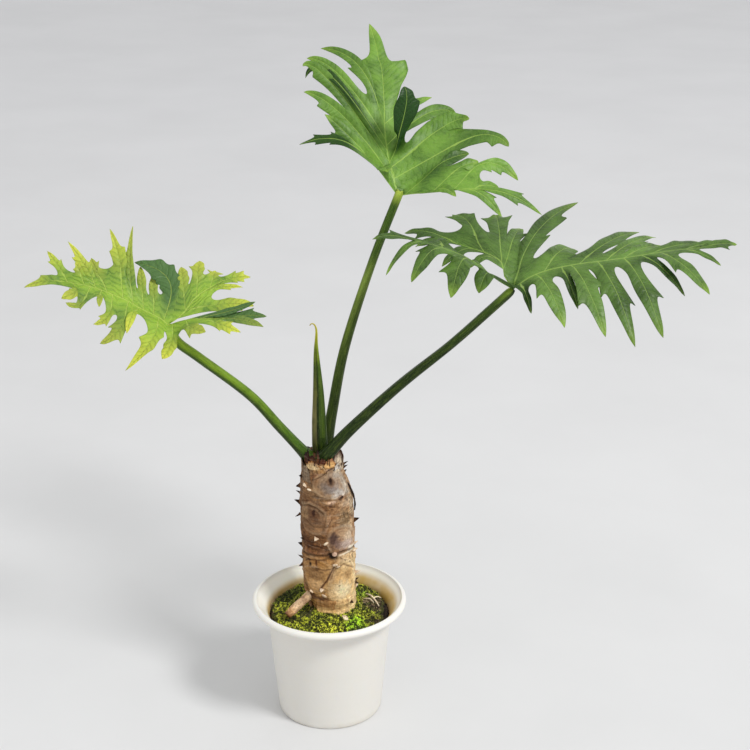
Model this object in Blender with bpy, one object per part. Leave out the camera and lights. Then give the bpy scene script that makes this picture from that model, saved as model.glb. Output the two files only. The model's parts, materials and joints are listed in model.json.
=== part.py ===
# Potted lacy tree philodendron: a stout scarred trunk with three large lobed
# leaves and one rolled new leaf, standing in a creamy plastic nursery pot.
# Metres, +Z up. The origin is at the middle of the pot's base; +Y is the back.
import math

import bmesh
import bpy
import numpy as np
from mathutils import Vector
from mathutils.geometry import interpolate_bezier

MM = 0.001
GAP = 0.0003

# pot
POT_HEIGHT = 0.168
RIM_RADIUS = 0.105
BASE_RADIUS = 0.071
SHOULDER_RADIUS = 0.084
SHOULDER_HEIGHT = 0.142
POT_WALL = 0.002
POT_FLOOR = 0.003
LIP_BEAD = 0.005
LIP_THICKENING = 0.0012
FLARE_HOLLOW = 2.4
FOOT_ROUNDING = 0.0022
WALL_HEIGHTS = [0.010, 0.075, 0.128, 0.142, 0.150, 0.157]
POT_SIDES = 40
DRAIN_HOLES = 6
DRAIN_RADIUS = 0.005
DRAIN_RING = 0.045

# soil and moss
MIX_TOP = 0.141
MOSS_EDGE = 0.1440
MOSS_CROWN = 0.1580
MOSS_RADIUS = 0.0795
MOSS_LUMP = 0.0011
MOSS_RIPPLE = 0.0008
# bare soil shows where the moss stops short at the right
MOSS_GAP = 0.006
MOSS_DIP = 0.004

# trunk
TRUNK_BURIED = 0.118
TRUNK_STRAIGHT_TOP = 0.164
TRUNK_FOOT_RADIUS = 0.029
TRUNK_FOOT_X = 0.004
CROWN_Z = 0.380
TRUNK_SIDES = 36

# leaves
BLADE = 0.0010


def clear_scene():
    for item in list(bpy.data.objects):
        bpy.data.objects.remove(item, do_unlink=True)


def make_material(name, colour, roughness):
    mat = bpy.data.materials.new(name)
    mat.use_nodes = True
    shader = mat.node_tree.nodes["Principled BSDF"]
    shader.inputs["Base Color"].default_value = (*colour, 1.0)
    shader.inputs["Roughness"].default_value = roughness
    shader.inputs["Metallic"].default_value = 0.0
    return mat


def add_object(name, verts, faces, mat, angle=50):
    mesh = bpy.data.meshes.new(name)
    mesh.from_pydata([tuple(v) for v in verts], [], faces)
    mesh.validate()
    bm = bmesh.new()
    bm.from_mesh(mesh)
    bmesh.ops.recalc_face_normals(bm, faces=bm.faces)
    bm.to_mesh(mesh)
    bm.free()
    mesh.shade_smooth()
    mesh.set_sharp_from_angle(angle=math.radians(angle))
    mesh.materials.append(mat)
    obj = bpy.data.objects.new(name, mesh)
    bpy.context.scene.collection.objects.link(obj)
    return obj


def round_ring(centre, radius, sides):
    """Points of a level circle."""
    return [centre + radius * Vector((math.cos(math.tau * k / sides), math.sin(math.tau * k / sides), 0))
            for k in range(sides)]


def loft(rings, closed_ends=True):
    """Skin a list of rings that have the same number of points."""
    sides = len(rings[0])
    verts = [p for ring in rings for p in ring]
    faces = []
    for row in range(len(rings) - 1):
        for i in range(sides):
            j = (i + 1) % sides
            a = row * sides
            b = a + sides
            faces.append((a + i, a + j, b + j, b + i))
    if closed_ends:
        faces.append(tuple(range(sides - 1, -1, -1)))
        last = (len(rings) - 1) * sides
        faces.append(tuple(range(last, last + sides)))
    return verts, faces


def smooth_curve(points, count):
    """Evenly spaced points on a smooth curve through the given ones."""
    pts = [Vector(p) for p in points]
    dense = []
    for i in range(len(pts) - 1):
        before = pts[max(i - 1, 0)]
        after = pts[min(i + 2, len(pts) - 1)]
        handle_a = pts[i] + (pts[i + 1] - before) / 6
        handle_b = pts[i + 1] - (after - pts[i]) / 6
        piece = interpolate_bezier(pts[i], handle_a, handle_b, pts[i + 1], 17)
        dense += piece if i == 0 else piece[1:]
    run = np.cumsum([0.0] + [(b - a).length for a, b in zip(dense, dense[1:])])
    grid = np.array([tuple(p) for p in dense])
    at = np.linspace(0, run[-1], count)
    return [Vector([np.interp(s, run, grid[:, k]) for k in range(3)]) for s in at]


def boolean_with(obj, operation, target=None, collection=None, solver="EXACT"):
    cut = obj.modifiers.new(operation.lower(), "BOOLEAN")
    cut.operation = operation
    cut.solver = solver
    if target:
        cut.object = target
    else:
        cut.operand_type = "COLLECTION"
        cut.collection = collection
    depsgraph = bpy.context.evaluated_depsgraph_get()
    mesh = bpy.data.meshes.new_from_object(obj.evaluated_get(depsgraph))
    obj.modifiers.remove(cut)
    obj.data = mesh


# pot

def pot_outer_radius(z):
    """Straight tapered wall up to the shoulder, then a hollow flare to the lip."""
    if z <= SHOULDER_HEIGHT:
        return BASE_RADIUS + (SHOULDER_RADIUS - BASE_RADIUS) * z / SHOULDER_HEIGHT
    lip_z = POT_HEIGHT - LIP_BEAD
    rise = (z - SHOULDER_HEIGHT) / (lip_z - SHOULDER_HEIGHT)
    reach = RIM_RADIUS - LIP_BEAD - SHOULDER_RADIUS
    return SHOULDER_RADIUS + reach * (0.25 * rise + 0.75 * rise ** FLARE_HOLLOW)


def make_pot(mat):
    profile = [(BASE_RADIUS - FOOT_ROUNDING, 0.0)]
    profile += [(pot_outer_radius(z), z) for z in [FOOT_ROUNDING] + WALL_HEIGHTS]
    bead_radius = RIM_RADIUS - LIP_BEAD
    bead_height = POT_HEIGHT - LIP_BEAD
    for turn in range(-70, 171, 40):
        angle = math.radians(turn)
        profile.append((bead_radius + LIP_BEAD * math.cos(angle), bead_height + LIP_BEAD * math.sin(angle)))
    profile.append((pot_outer_radius(bead_height) - POT_WALL - LIP_THICKENING, bead_height))
    profile += [(pot_outer_radius(z) - POT_WALL, z) for z in WALL_HEIGHTS[::-1] + [POT_FLOOR]]
    bm = bmesh.new()
    line = [bm.verts.new((r, 0.0, z)) for r, z in profile]
    edges = [bm.edges.new(pair) for pair in zip(line, line[1:])]
    bmesh.ops.spin(bm, geom=line + edges, axis=(0, 0, 1), cent=(0, 0, 0), steps=POT_SIDES,
                   angle=math.tau, use_duplicate=False)
    bmesh.ops.remove_doubles(bm, verts=bm.verts, dist=1e-6)
    for z in (0.0, POT_FLOOR):
        rim = [e for e in bm.edges if e.is_boundary and abs(e.verts[0].co.z - z) < 1e-6]
        bmesh.ops.contextual_create(bm, geom=rim)
    bmesh.ops.recalc_face_normals(bm, faces=bm.faces)
    mesh = bpy.data.meshes.new("pot")
    bm.to_mesh(mesh)
    bm.free()
    mesh.shade_smooth()
    mesh.set_sharp_from_angle(angle=math.radians(45))
    mesh.materials.append(mat)
    pot = bpy.data.objects.new("pot", mesh)
    bpy.context.scene.collection.objects.link(pot)
    # drainage holes lie in a ring, clear of the middle of the base
    drill = bpy.data.collections.new("drain_drills")
    for i in range(DRAIN_HOLES):
        angle = math.tau * (i + 0.5) / DRAIN_HOLES
        x, y = DRAIN_RING * math.cos(angle), DRAIN_RING * math.sin(angle)
        verts, faces = loft([round_ring(Vector((x, y, z)), DRAIN_RADIUS, 10) for z in (-0.01, 0.01)])
        drill.objects.link(add_object(f"drain_drill_{i}", verts, faces, mat))
    boolean_with(pot, "DIFFERENCE", collection=drill)
    for tool in list(drill.objects):
        bpy.data.objects.remove(tool, do_unlink=True)
    return pot


# soil and moss

def make_potting_mix(mat):
    wall = POT_WALL + GAP + 0.0002
    rings = [round_ring(Vector((0, 0, z)), pot_outer_radius(z) - wall, POT_SIDES)
             for z in (POT_FLOOR + GAP, 0.010, 0.075, 0.128, MIX_TOP)]
    verts, faces = loft(rings)
    mix = add_object("potting_mix", verts, faces, mat, angle=40)
    hole = [round_ring(Vector((TRUNK_FOOT_X, 0, z)), TRUNK_FOOT_RADIUS + GAP, TRUNK_SIDES)
            for z in (TRUNK_BURIED - GAP, MIX_TOP + 0.01)]
    verts, faces = loft(hole)
    tool = add_object("planting_hole", verts, faces, mat)
    tool.hide_render = True
    tool.display_type = "WIRE"
    boolean_with(mix, "DIFFERENCE", target=tool)
    bpy.data.objects.remove(tool, do_unlink=True)
    return mix


def moss_height(x, y):
    """Mounded towards the trunk, with small lumps, and a dip under the prop root."""
    from_trunk = math.hypot(x - TRUNK_FOOT_X, y)
    out = (from_trunk - TRUNK_FOOT_RADIUS) / (MOSS_RADIUS - TRUNK_FOOT_RADIUS)
    out = min(max(out, 0.0), 1.0)
    height = MOSS_CROWN + (MOSS_EDGE + 0.0025 - MOSS_CROWN) * out ** 0.8
    height += MOSS_LUMP * math.sin(x * 260 + 1.3) * math.sin(y * 230 + 0.4)
    height += MOSS_RIPPLE * math.sin(x * 520 - y * 330)
    under_root = math.hypot(x + 0.046, y + 0.033)
    return height - MOSS_DIP * math.exp(-(under_root / 0.016) ** 2)


def make_moss(mat):
    sides = POT_SIDES
    levels = [0.0, 0.12, 0.3, 0.5, 0.7, 0.86, 1.0]
    inner = TRUNK_FOOT_RADIUS + GAP + 0.0002
    top = []
    for out in levels:
        ring = []
        for k in range(sides):
            angle = math.tau * k / sides
            edge = MOSS_RADIUS + MOSS_RIPPLE * math.sin(angle * 7)
            edge -= MOSS_GAP * math.exp(-(math.sin(angle / 2) / 0.16) ** 2)
            near = Vector((TRUNK_FOOT_X + inner * math.cos(angle), inner * math.sin(angle)))
            far = Vector((edge * math.cos(angle), edge * math.sin(angle)))
            spot = near.lerp(far, out)
            z = moss_height(spot.x, spot.y)
            if out == 1.0:
                z = MOSS_EDGE
            ring.append(Vector((spot.x, spot.y, z)))
        top.append(ring)
    floor = [[Vector((p.x, p.y, MIX_TOP + GAP)) for p in ring] for ring in (top[-1], top[0])]
    verts, faces = loft(top + floor + [top[0]], closed_ends=False)
    obj = add_object("moss", verts, faces, mat, angle=70)
    bm = bmesh.new()
    bm.from_mesh(obj.data)
    bmesh.ops.remove_doubles(bm, verts=bm.verts, dist=1e-6)
    bmesh.ops.recalc_face_normals(bm, faces=bm.faces)
    bm.to_mesh(obj.data)
    bm.free()
    return obj


# trunk

# height, middle of the section in x, radius
TRUNK_PROFILE = [
    (0.164, 0.0040, 0.0290), (0.172, 0.0030, 0.0322), (0.182, 0.0010, 0.0345), (0.205, 0.0003, 0.0352),
    (0.245, 0.0000, 0.0356), (0.290, -0.0014, 0.0356), (0.320, -0.0025, 0.0350), (0.338, -0.0042, 0.0328),
    (0.355, -0.0066, 0.0282), (0.370, -0.0073, 0.0258), (0.380, -0.0073, 0.0245)]

# leaf scars climb the trunk in a spiral: angle from +X in degrees, height, half width, half height
SCARS = [(-88, 0.343, 0.021, 0.023), (-137, 0.303, 0.017, 0.022), (-52, 0.211, 0.018, 0.023),
         (-150, 0.215, 0.017, 0.018), (-68, 0.280, 0.019, 0.020), (48, 0.322, 0.020, 0.022),
         (120, 0.262, 0.020, 0.023), (10, 0.250, 0.019, 0.022), (95, 0.205, 0.019, 0.021),
         (165, 0.330, 0.018, 0.021), (175, 0.255, 0.017, 0.022), (30, 0.190, 0.017, 0.018)]
SCAR_DEPTH = 0.0014
SCAR_RIM = 0.0013


def trunk_section(z):
    heights = [row[0] for row in TRUNK_PROFILE]
    middle = np.interp(z, heights, [row[1] for row in TRUNK_PROFILE])
    radius = np.interp(z, heights, [row[2] for row in TRUNK_PROFILE])
    return middle, radius


def scar_relief(angle, z):
    """A shallow dished oval with a raised rim for every leaf scar; the highest one nearby wins."""
    relief = 0.0
    for scar_angle, height, half_width, half_height in SCARS:
        turn = (angle - math.radians(scar_angle) + math.pi) % math.tau - math.pi
        across = turn * 0.035 / half_width
        up = (z - height) / half_height
        reach = math.hypot(across, up)
        if reach < 1.35:
            dish = -SCAR_DEPTH * max(0.0, 1 - reach ** 4)
            rim = SCAR_RIM * math.exp(-((reach - 1.02) / 0.13) ** 2)
            relief = dish + rim if abs(dish + rim) > abs(relief) else relief
    return relief


def trunk_radius(angle, z):
    middle, radius = trunk_section(z)
    fade = min(max((z - TRUNK_STRAIGHT_TOP) / 0.012, 0.0), 1.0) * min(max((CROWN_Z - z) / 0.012, 0.0), 1.0)
    waves = 0.0006 * math.sin(3 * angle + z * 70) + 0.0005 * math.sin(5 * angle - z * 160)
    crease = -0.0012 * math.exp(-((z - 0.2515 - 0.003 * math.sin(angle * 2)) / 0.0022) ** 2)
    return middle, radius + fade * (scar_relief(angle, z) + waves + crease)


def trunk_point(angle_deg, z, proud=0.0):
    angle = math.radians(angle_deg)
    middle, radius = trunk_radius(angle, z)
    return Vector((middle + (radius + proud) * math.cos(angle), (radius + proud) * math.sin(angle), z))


def spike(name, root, tip, radius, mat, sides=5):
    axis = (tip - root).normalized()
    side = axis.orthogonal().normalized()
    other = axis.cross(side)
    verts = [root + radius * (math.cos(math.tau * k / sides) * side + math.sin(math.tau * k / sides) * other)
             for k in range(sides)] + [tip]
    faces = [(k, (k + 1) % sides, sides) for k in range(sides)] + [tuple(range(sides - 1, -1, -1))]
    return add_object(name, verts, faces, mat)


def tube(points, radii, sides, flat=1.0):
    """Rings across a centre line; flat squeezes them towards the back."""
    rings = []
    for i, centre in enumerate(points):
        ahead = points[min(i + 1, len(points) - 1)] - points[max(i - 1, 0)]
        ahead.normalize()
        side = Vector((0, 1, 0)).cross(ahead).normalized()
        back = ahead.cross(side)
        rings.append([centre + radii[i] * (math.cos(math.tau * k / sides) * side
                                           + flat * math.sin(math.tau * k / sides) * back)
                      for k in range(sides)])
    return rings


# pointed scales seen in front: angle in degrees, height; the back ones follow a spiral
SCALES = [(184, 0.336), (189, 0.324), (181, 0.311), (185, 0.294), (180, 0.250), (184, 0.232), (188, 0.223),
          (-2, 0.364), (-5, 0.287), (-20, 0.254), (-29, 0.243), (-2, 0.206), (-131, 0.338), (-115, 0.273),
          (-93, 0.265), (-74, 0.234), (-127, 0.197), (-103, 0.203), (-99, 0.191), (-62, 0.330)]
BACK_SCALES = 14
KNOB = (-77, 0.250)
CROWN_TIPS = [(150, 0.378), (192, 0.377), (228, 0.376), (-38, 0.378), (20, 0.378), (75, 0.378), (112, 0.378)]
SCALE_LENGTH = 0.0075
SCALE_RADIUS = 0.0026
# the cut prop root runs from the lower left of the trunk down to the moss
PROP_ROOT = [(-0.022, -0.014, 0.1880), (-0.036, -0.024, 0.1755), (-0.054, -0.037, 0.1615)]
PROP_RADIUS = 0.0066
PROP_SWELL = [1.0, 1.0, 1.03, 1.0, 0.86]
# a thin dry aerial root clings to the right side
AERIAL_ROOT = [(0.0225, -0.006, 0.3440), (0.0285, -0.006, 0.3330), (0.0330, -0.006, 0.3150),
               (0.0325, -0.006, 0.3020)]
AERIAL_RADIUS = 0.0011


def make_trunk(mat):
    heights = [TRUNK_BURIED, 0.130, 0.150, TRUNK_STRAIGHT_TOP]
    heights += [0.168 + i * (CROWN_Z - 0.168) / 33 for i in range(34)]
    rings = []
    for z in heights:
        ring = []
        for k in range(TRUNK_SIDES):
            angle = math.tau * k / TRUNK_SIDES
            if z <= TRUNK_STRAIGHT_TOP:
                middle, radius = TRUNK_FOOT_X, TRUNK_FOOT_RADIUS
            else:
                middle, radius = trunk_radius(angle, z)
            ring.append(Vector((middle + radius * math.cos(angle), radius * math.sin(angle), z)))
        rings.append(ring)
    verts, faces = loft(rings)
    trunk = add_object("trunk", verts, faces, mat, angle=60)

    growths = bpy.data.collections.new("trunk_growths")
    spots = list(SCALES)
    for i in range(BACK_SCALES):
        spots.append((15 + (i * 47) % 150, 0.195 + i * 0.0125))
    for i, (angle, z) in enumerate(spots):
        root = trunk_point(angle, z, -0.003)
        tip = trunk_point(angle, z + 0.0012 * (-1) ** i, SCALE_LENGTH * (0.8 + 0.07 * (i % 4)))
        growths.objects.link(spike(f"scale_{i}", root, tip, SCALE_RADIUS, mat))
    for i, (angle, z) in enumerate(CROWN_TIPS):
        root = trunk_point(angle, z - 0.004, -0.003)
        tip = trunk_point(angle, z + 0.001, 0.0035)
        growths.objects.link(spike(f"crown_tip_{i}", root, tip, 0.0026, mat))
    knob = [trunk_point(KNOB[0], KNOB[1], out) for out in (-0.003, 0.0015, 0.0030)]
    verts, faces = loft(tube(knob, [0.0042, 0.0042, 0.0026], 8))
    growths.objects.link(add_object("root_knob", verts, faces, mat))
    prop = smooth_curve(PROP_ROOT, len(PROP_SWELL))
    verts, faces = loft(tube(prop, [PROP_RADIUS * swell for swell in PROP_SWELL], 10))
    growths.objects.link(add_object("prop_root", verts, faces, mat))
    thread = smooth_curve(AERIAL_ROOT, 9)
    verts, faces = loft(tube(thread, [AERIAL_RADIUS] * 9, 6))
    growths.objects.link(add_object("aerial_root", verts, faces, mat))
    boolean_with(trunk, "UNION", collection=growths, solver="MANIFOLD")
    for tool in list(growths.objects):
        bpy.data.objects.remove(tool, do_unlink=True)
    return trunk


# petioles and the new leaf

# centre lines in metres from the crown up to the blade
PETIOLES = {
    "petiole_left": [(-0.0275, -0.003, 0.3803), (-0.061, -0.008, 0.422), (-0.099, -0.012, 0.469),
                     (-0.161, -0.015, 0.521), (-0.188, -0.015, 0.543), (-0.1990, -0.015, 0.5652)],
    "petiole_right": [(-0.004, -0.0125, 0.3803), (0.030, -0.025, 0.4255), (0.094, -0.042, 0.495),
                      (0.156, -0.058, 0.555), (0.203, -0.070, 0.605), (0.2296, -0.075, 0.6331)],
    "petiole_top": [(-0.003, 0.0175, 0.3803), (0.006, 0.036, 0.430), (0.023, 0.060, 0.510),
                    (0.0585, 0.095, 0.614), (0.0923, 0.1198, 0.6966)],
}
# radius at the crown and under the blade
PETIOLE_RADII = {
    "petiole_left": (0.0068, 0.0058),
    "petiole_right": (0.0078, 0.0052),
    "petiole_top": (0.0072, 0.0052),
}
PETIOLE_END = 0.0014
SPEAR_LINE = [(-0.0095, 0.0030, 0.3803), (-0.0105, 0.0030, 0.425), (-0.0108, 0.0025, 0.470),
              (-0.0128, 0.0010, 0.525), (-0.0122, -0.0015, 0.552), (-0.0140, -0.0020, 0.5605),
              (-0.0178, -0.0020, 0.5632), (-0.0208, -0.0020, 0.5605)]
SPEAR_FLATNESS = 0.56
# half width of the rolled leaf along its line
SPEAR_WIDTHS = [(0.0, 0.0100), (0.10, 0.0104), (0.25, 0.0098), (0.48, 0.0072), (0.72, 0.0040), (0.84, 0.0020),
                (0.92, 0.0013), (1.0, 0.0008)]


def make_petiole(name, mat):
    count = 16
    sides = 12
    points = smooth_curve(PETIOLES[name], count)
    base, top = PETIOLE_RADII[name]
    radii = [base + (top - base) * min(1.0, 1.6 * i / (count - 1)) for i in range(count)]
    radii[-1] = PETIOLE_END
    rings = tube(points, radii, sides)
    # the first ring lies flat on the crown
    flat = round_ring(points[0], base, sides)
    rings[0] = flat[:1] + flat[:0:-1]
    verts, faces = loft(rings)
    return add_object(name, verts, faces, mat, angle=60)


def make_spear(mat):
    count = 26
    sides = 10
    points = smooth_curve(SPEAR_LINE, count)
    shares = [row[0] for row in SPEAR_WIDTHS]
    widths = [row[1] for row in SPEAR_WIDTHS]
    radii = [float(np.interp(i / (count - 1), shares, widths)) for i in range(count)]
    rings = tube(points, radii, sides, flat=SPEAR_FLATNESS)
    rings[0] = [Vector((p.x, p.y, points[0].z)) for p in rings[0]]
    verts, faces = loft(rings)
    return add_object("new_leaf_spear", verts, faces, mat, angle=60)


# leaf blades

# Margins of a lobe: share of the way from the notch to the tip, and share of the half width.
# A tooth's point lies further along than the margin behind it, so that it points forward.
VEIN_SHARES = (0.08, 0.22, 0.38, 0.55, 0.73, 0.88)
MARGINS = {
    "plain": ((0.14, 0.80), (0.30, 0.98), (0.47, 1.00), (0.65, 0.84), (0.81, 0.58), (0.93, 0.30)),
    "tooth": ((0.14, 0.80), (0.32, 0.95), (0.62, 1.65), (0.54, 0.84), (0.76, 0.62), (0.92, 0.28)),
    "low_tooth": ((0.12, 0.85), (0.46, 1.70), (0.36, 0.90), (0.58, 0.86), (0.79, 0.60), (0.93, 0.28)),
    "two_teeth": ((0.12, 0.85), (0.43, 1.75), (0.34, 0.88), (0.74, 1.45), (0.66, 0.62), (0.91, 0.28)),
    "high_tooth": ((0.14, 0.80), (0.30, 0.95), (0.46, 0.95), (0.80, 1.50), (0.71, 0.70), (0.92, 0.30)),
    "wide_shoulder": ((0.12, 1.00), (0.25, 1.35), (0.37, 1.85), (0.49, 1.80), (0.54, 0.92), (0.82, 0.55)),
    "shoulder": ((0.14, 1.00), (0.33, 1.15), (0.56, 1.60), (0.59, 0.70), (0.76, 0.58), (0.92, 0.32)),
    "wavy": ((0.12, 0.75), (0.27, 0.95), (0.42, 1.20), (0.54, 0.85), (0.68, 1.05), (0.88, 0.55)),
    "narrow": ((0.12, 1.45), (0.28, 1.25), (0.43, 1.00), (0.58, 0.62), (0.76, 0.45), (0.92, 0.22)),
    "barb": ((0.12, 1.45), (0.28, 1.55), (0.46, 1.75), (0.48, 0.75), (0.72, 0.55), (0.92, 0.25)),
}


def lobe(at, tip, wide, web=12, arch=10, turn=0, back="plain", front="plain", via=None):
    """One lobe: where its vein leaves the rib, its tip and sizes in millimetres, and its two margins.

    web is how far out its notches lie, or a pair for the back and the front notch; arch lifts the
    middle of the vein, and via is a point that the middle passes instead. A margin is a name from
    the table or its own rows, as many on the one side as on the other.
    """
    webs = web if isinstance(web, tuple) else (web, web)
    rows = [MARGINS[side] if isinstance(side, str) else side for side in (back, front)]
    shares = VEIN_SHARES
    if len(rows[0]) != len(VEIN_SHARES):
        shares = sorted((a[0] + b[0]) / 2 for a, b in zip(*rows))
    return {"at": at, "tip": Vector(tip), "wide": wide, "webs": webs, "arch": arch, "turn": turn,
            "margins": rows, "shares": shares, "via": via and Vector(via)}


# Each leaf is a midrib and two basal ribs that leave the petiole's top. Points and tips are in
# millimetres from there: right, back, up. "left" and "right" are the sides seen walking out
# along a rib.
RIGHT_LEAF = {
    "origin": (0.2302, -0.0750, 0.6340),
    "normal": (0.0, -0.28, 1.0),
    "midrib": {
        "points": [(0, 0, 0), (18, 4, 13), (41, 6, 22), (75, 8, 29), (116, 12, 33), (155, 16, 38),
                   (194, 20, 43), (232, 24, 45)],
        "parts": 22,
        "tip": lobe(1.0, (274, 28, 48), 9, web=9, arch=3, back="tooth"),
        "right": [
            lobe(0.04, (22, -14, -27), 5, web=12, arch=6),
            lobe(0.15, (58, -58, -29), 12, web=15, arch=12, back="low_tooth"),
            lobe(0.25, (75, -40, -12), 6, web=13, arch=5),
            lobe(0.33, (105, -72, -36), 13, web=14, arch=13, back="tooth", front="low_tooth"),
            lobe(0.45, (139, -82, -45), 12, web=14, arch=15, back="low_tooth", front="tooth"),
            lobe(0.58, (172, -78, -35), 12, web=14, arch=14, front="tooth"),
            lobe(0.69, (205, -24, -1), 7, web=12, arch=8),
            lobe(0.79, (230, -44, 8), 10, web=12, arch=9, back="low_tooth"),
            lobe(0.93, (249, -6, 32), 5, web=9, arch=4)],
        "left": [
            lobe(0.0, (94, 148, 68), 11, web=(66, 34), via=(32, 68, 51), back="wavy", front="two_teeth"),
            lobe(0.19, (84, 68, 27), 16, web=22, arch=14, front="low_tooth"),
            lobe(0.37, (168, 108, 40), 10, web=20, arch=9, back="wavy", front="tooth"),
            lobe(0.49, (186, 92, 38), 8, web=16, arch=8, front="tooth"),
            lobe(0.60, (192, 62, 34), 9, web=15, arch=6, front="low_tooth"),
            lobe(0.74, (241, 60, 38), 9, web=14, arch=5, back="wavy"),
            lobe(0.89, (266, 48, 43), 7, web=10, arch=3)],
    },
    "first_basal": {
        "points": [(0, 0, 0), (-23, -6, 16), (-39, -11, 32), (-54, -15, 43), (-73, -18, 53), (-101, -20, 63),
                   (-126, -20, 68)],
        "parts": 14,
        "tip": lobe(1.0, (-171, -22, 70), 7, web=8, arch=5, back="low_tooth"),
        "left": [
            lobe(0.22, (-44, -34, 6), 12, web=13, arch=14),
            lobe(0.50, (-78, -52, 6), 14, web=15, arch=16, front="tooth"),
            lobe(0.70, (-125, -50, 25), 11, web=13, arch=14, front="low_tooth"),
            lobe(0.88, (-155, -36, 29), 5, web=10, arch=16)],
        "right": [
            lobe(0.40, (-59, 12, 16), 7, web=9, arch=8),
            lobe(0.68, (-95, 16, 57), 8, web=9, arch=4, front="tooth")],
    },
    "second_basal": {
        "points": [(0, 0, 0), (-11, 10, 15), (-12, 22, 27), (-29, 38, 33), (-53, 52, 37), (-75, 62, 41)],
        "parts": 12,
        "tip": lobe(1.0, (-131, 90, 44), 10, web=10, arch=8, front="tooth"),
        "right": [
            lobe(0.22, (17, 118, 42), 10, web=(58, 56), arch=9, back="low_tooth"),
            lobe(0.36, (-13, 138, 54), 14, web=(60, 44), arch=10, back="high_tooth", front="high_tooth"),
            lobe(0.56, (-69, 116, 60), 12, web=30, arch=14, back="tooth", front="high_tooth")],
        "left": [
            lobe(0.44, (-52, 22, 20), 7, web=10, arch=8),
            lobe(0.66, (-86, 30, 19), 9, web=11, arch=10, back="tooth"),
            lobe(0.88, (-118, 58, 36), 9, web=10, arch=7, back="tooth")],
    },
}

TOP_LEAF = {
    "origin": (0.0926, 0.1200, 0.6976),
    "normal": (0.10, -0.77, 0.64),
    "midrib": {
        "points": [(0, 0, 0), (-10, 18, 36), (-16, 38, 66), (-18, 56, 90)],
        "parts": 14,
        "tip": lobe(1.0, (-38, 155, 199), 18, web=22, via=(-23, 105, 150),
                    back=((0.06, 1.10), (0.17, 1.35), (0.28, 1.83), (0.36, 2.08), (0.46, 1.95), (0.44, 0.72),
                          (0.60, 0.56), (0.78, 0.52), (0.92, 0.30)),
                    front=((0.06, 0.70), (0.20, 0.78), (0.29, 0.98), (0.39, 1.13), (0.46, 1.20), (0.51, 1.45),
                           (0.52, 0.85), (0.62, 0.50), (0.84, 0.34))),
        "left": [
            lobe(0.20, (-122, 10, 135), 9, web=26, via=(-74, 30, 102), turn=-18, back="two_teeth"),
            lobe(0.42, (-124, 50, 161), 8, web=(44, 56), via=(-89, 70, 136), turn=-18, back="shoulder"),
            lobe(0.58, (-123, 92, 136), 6, web=(56, 40), via=(-89, 72, 145), turn=-18, back="tooth"),
            lobe(0.74, (-121, 86, 164), 8, web=(40, 34), via=(-75, 72, 143), turn=-18, back="low_tooth"),
            lobe(0.92, (-103, 104, 174), 8, web=34, via=(-50, 82, 154), turn=-14, back="low_tooth")],
        "right": [
            lobe(0.24, (146, 28, 59), 8, web=(95, 96), via=(94, 40, 70),
                 back=((0.20, 1.40), (0.35, 1.90), (0.52, 2.10), (0.66, 1.00), (0.82, 0.75), (0.93, 0.40)),
                 front=((0.12, 0.75), (0.30, 0.70), (0.47, 0.65), (0.65, 0.65), (0.81, 0.60), (0.93, 0.35))),
            lobe(0.34, (95, 60, 89), 10, web=(72, 24), via=(60, 62, 77),
                 back=((0.14, 1.00), (0.33, 1.15), (0.56, 1.60), (0.59, 0.70), (0.76, 0.58), (0.92, 0.32)),
                 front=((0.10, 1.50), (0.28, 1.80), (0.45, 1.70), (0.60, 1.45), (0.70, 0.80), (0.90, 0.45))),
            lobe(0.46, (8, 22, 140), 15, web=14, via=(9, 14, 109), turn=20,
                 back=((0.10, 0.45), (0.22, 0.70), (0.41, 1.13), (0.60, 1.35), (0.66, 0.70), (0.80, 0.66),
                       (0.93, 0.40)),
                 front=((0.10, 0.45), (0.22, 0.70), (0.41, 1.13), (0.56, 0.95), (0.68, 0.80), (0.80, 0.60),
                        (0.93, 0.40))),
            lobe(0.66, (80, 92, 85), 9, web=(40, 26), via=(44, 80, 94), back="wide_shoulder"),
            lobe(0.90, (47, 112, 107), 6, web=26, arch=6, front="tooth")],
    },
    "first_basal": {
        "points": [(0, 0, 0), (18, -6, 4), (54, -16, 10), (93, -24, 16), (108, -26, 15)],
        "parts": 12,
        "tip": lobe(1.0, (187, -34, -17), 6, web=9, arch=10, back="tooth", front="tooth"),
        "left": [
            lobe(0.10, (94, 26, 50), 9, web=(80, 50), arch=12),
            lobe(0.38, (106, 12, 42), 8, web=(50, 44), arch=10, front="tooth"),
            lobe(0.66, (158, 8, 18), 9, web=(50, 30), via=(114, 12, 42), back="plain", front="two_teeth"),
            lobe(0.92, (132, -10, 12), 6, web=10, arch=5)],
        "right": [
            lobe(0.44, (74, -44, 11), 7, web=9, arch=8),
            lobe(0.86, (135, -40, -19), 7, web=10, arch=9, front="tooth")],
    },
    "second_basal": {
        "points": [(0, 0, 0), (-12, -3, 18), (-24, -6, 35), (-38, -9, 53), (-53, -12, 68)],
        "parts": 8,
        "tip": lobe(1.0, (-127, -30, 75), 5, web=9, via=(-89, -22, 82), turn=-40, back="two_teeth",
                    front="two_teeth"),
        "right": [lobe(0.80, (-95, 6, 107), 9, web=14, arch=3, turn=-10, front="tooth")],
        "left": [lobe(0.55, (-14, -32, 40), 10, web=10, arch=6)],
    },
}

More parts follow.
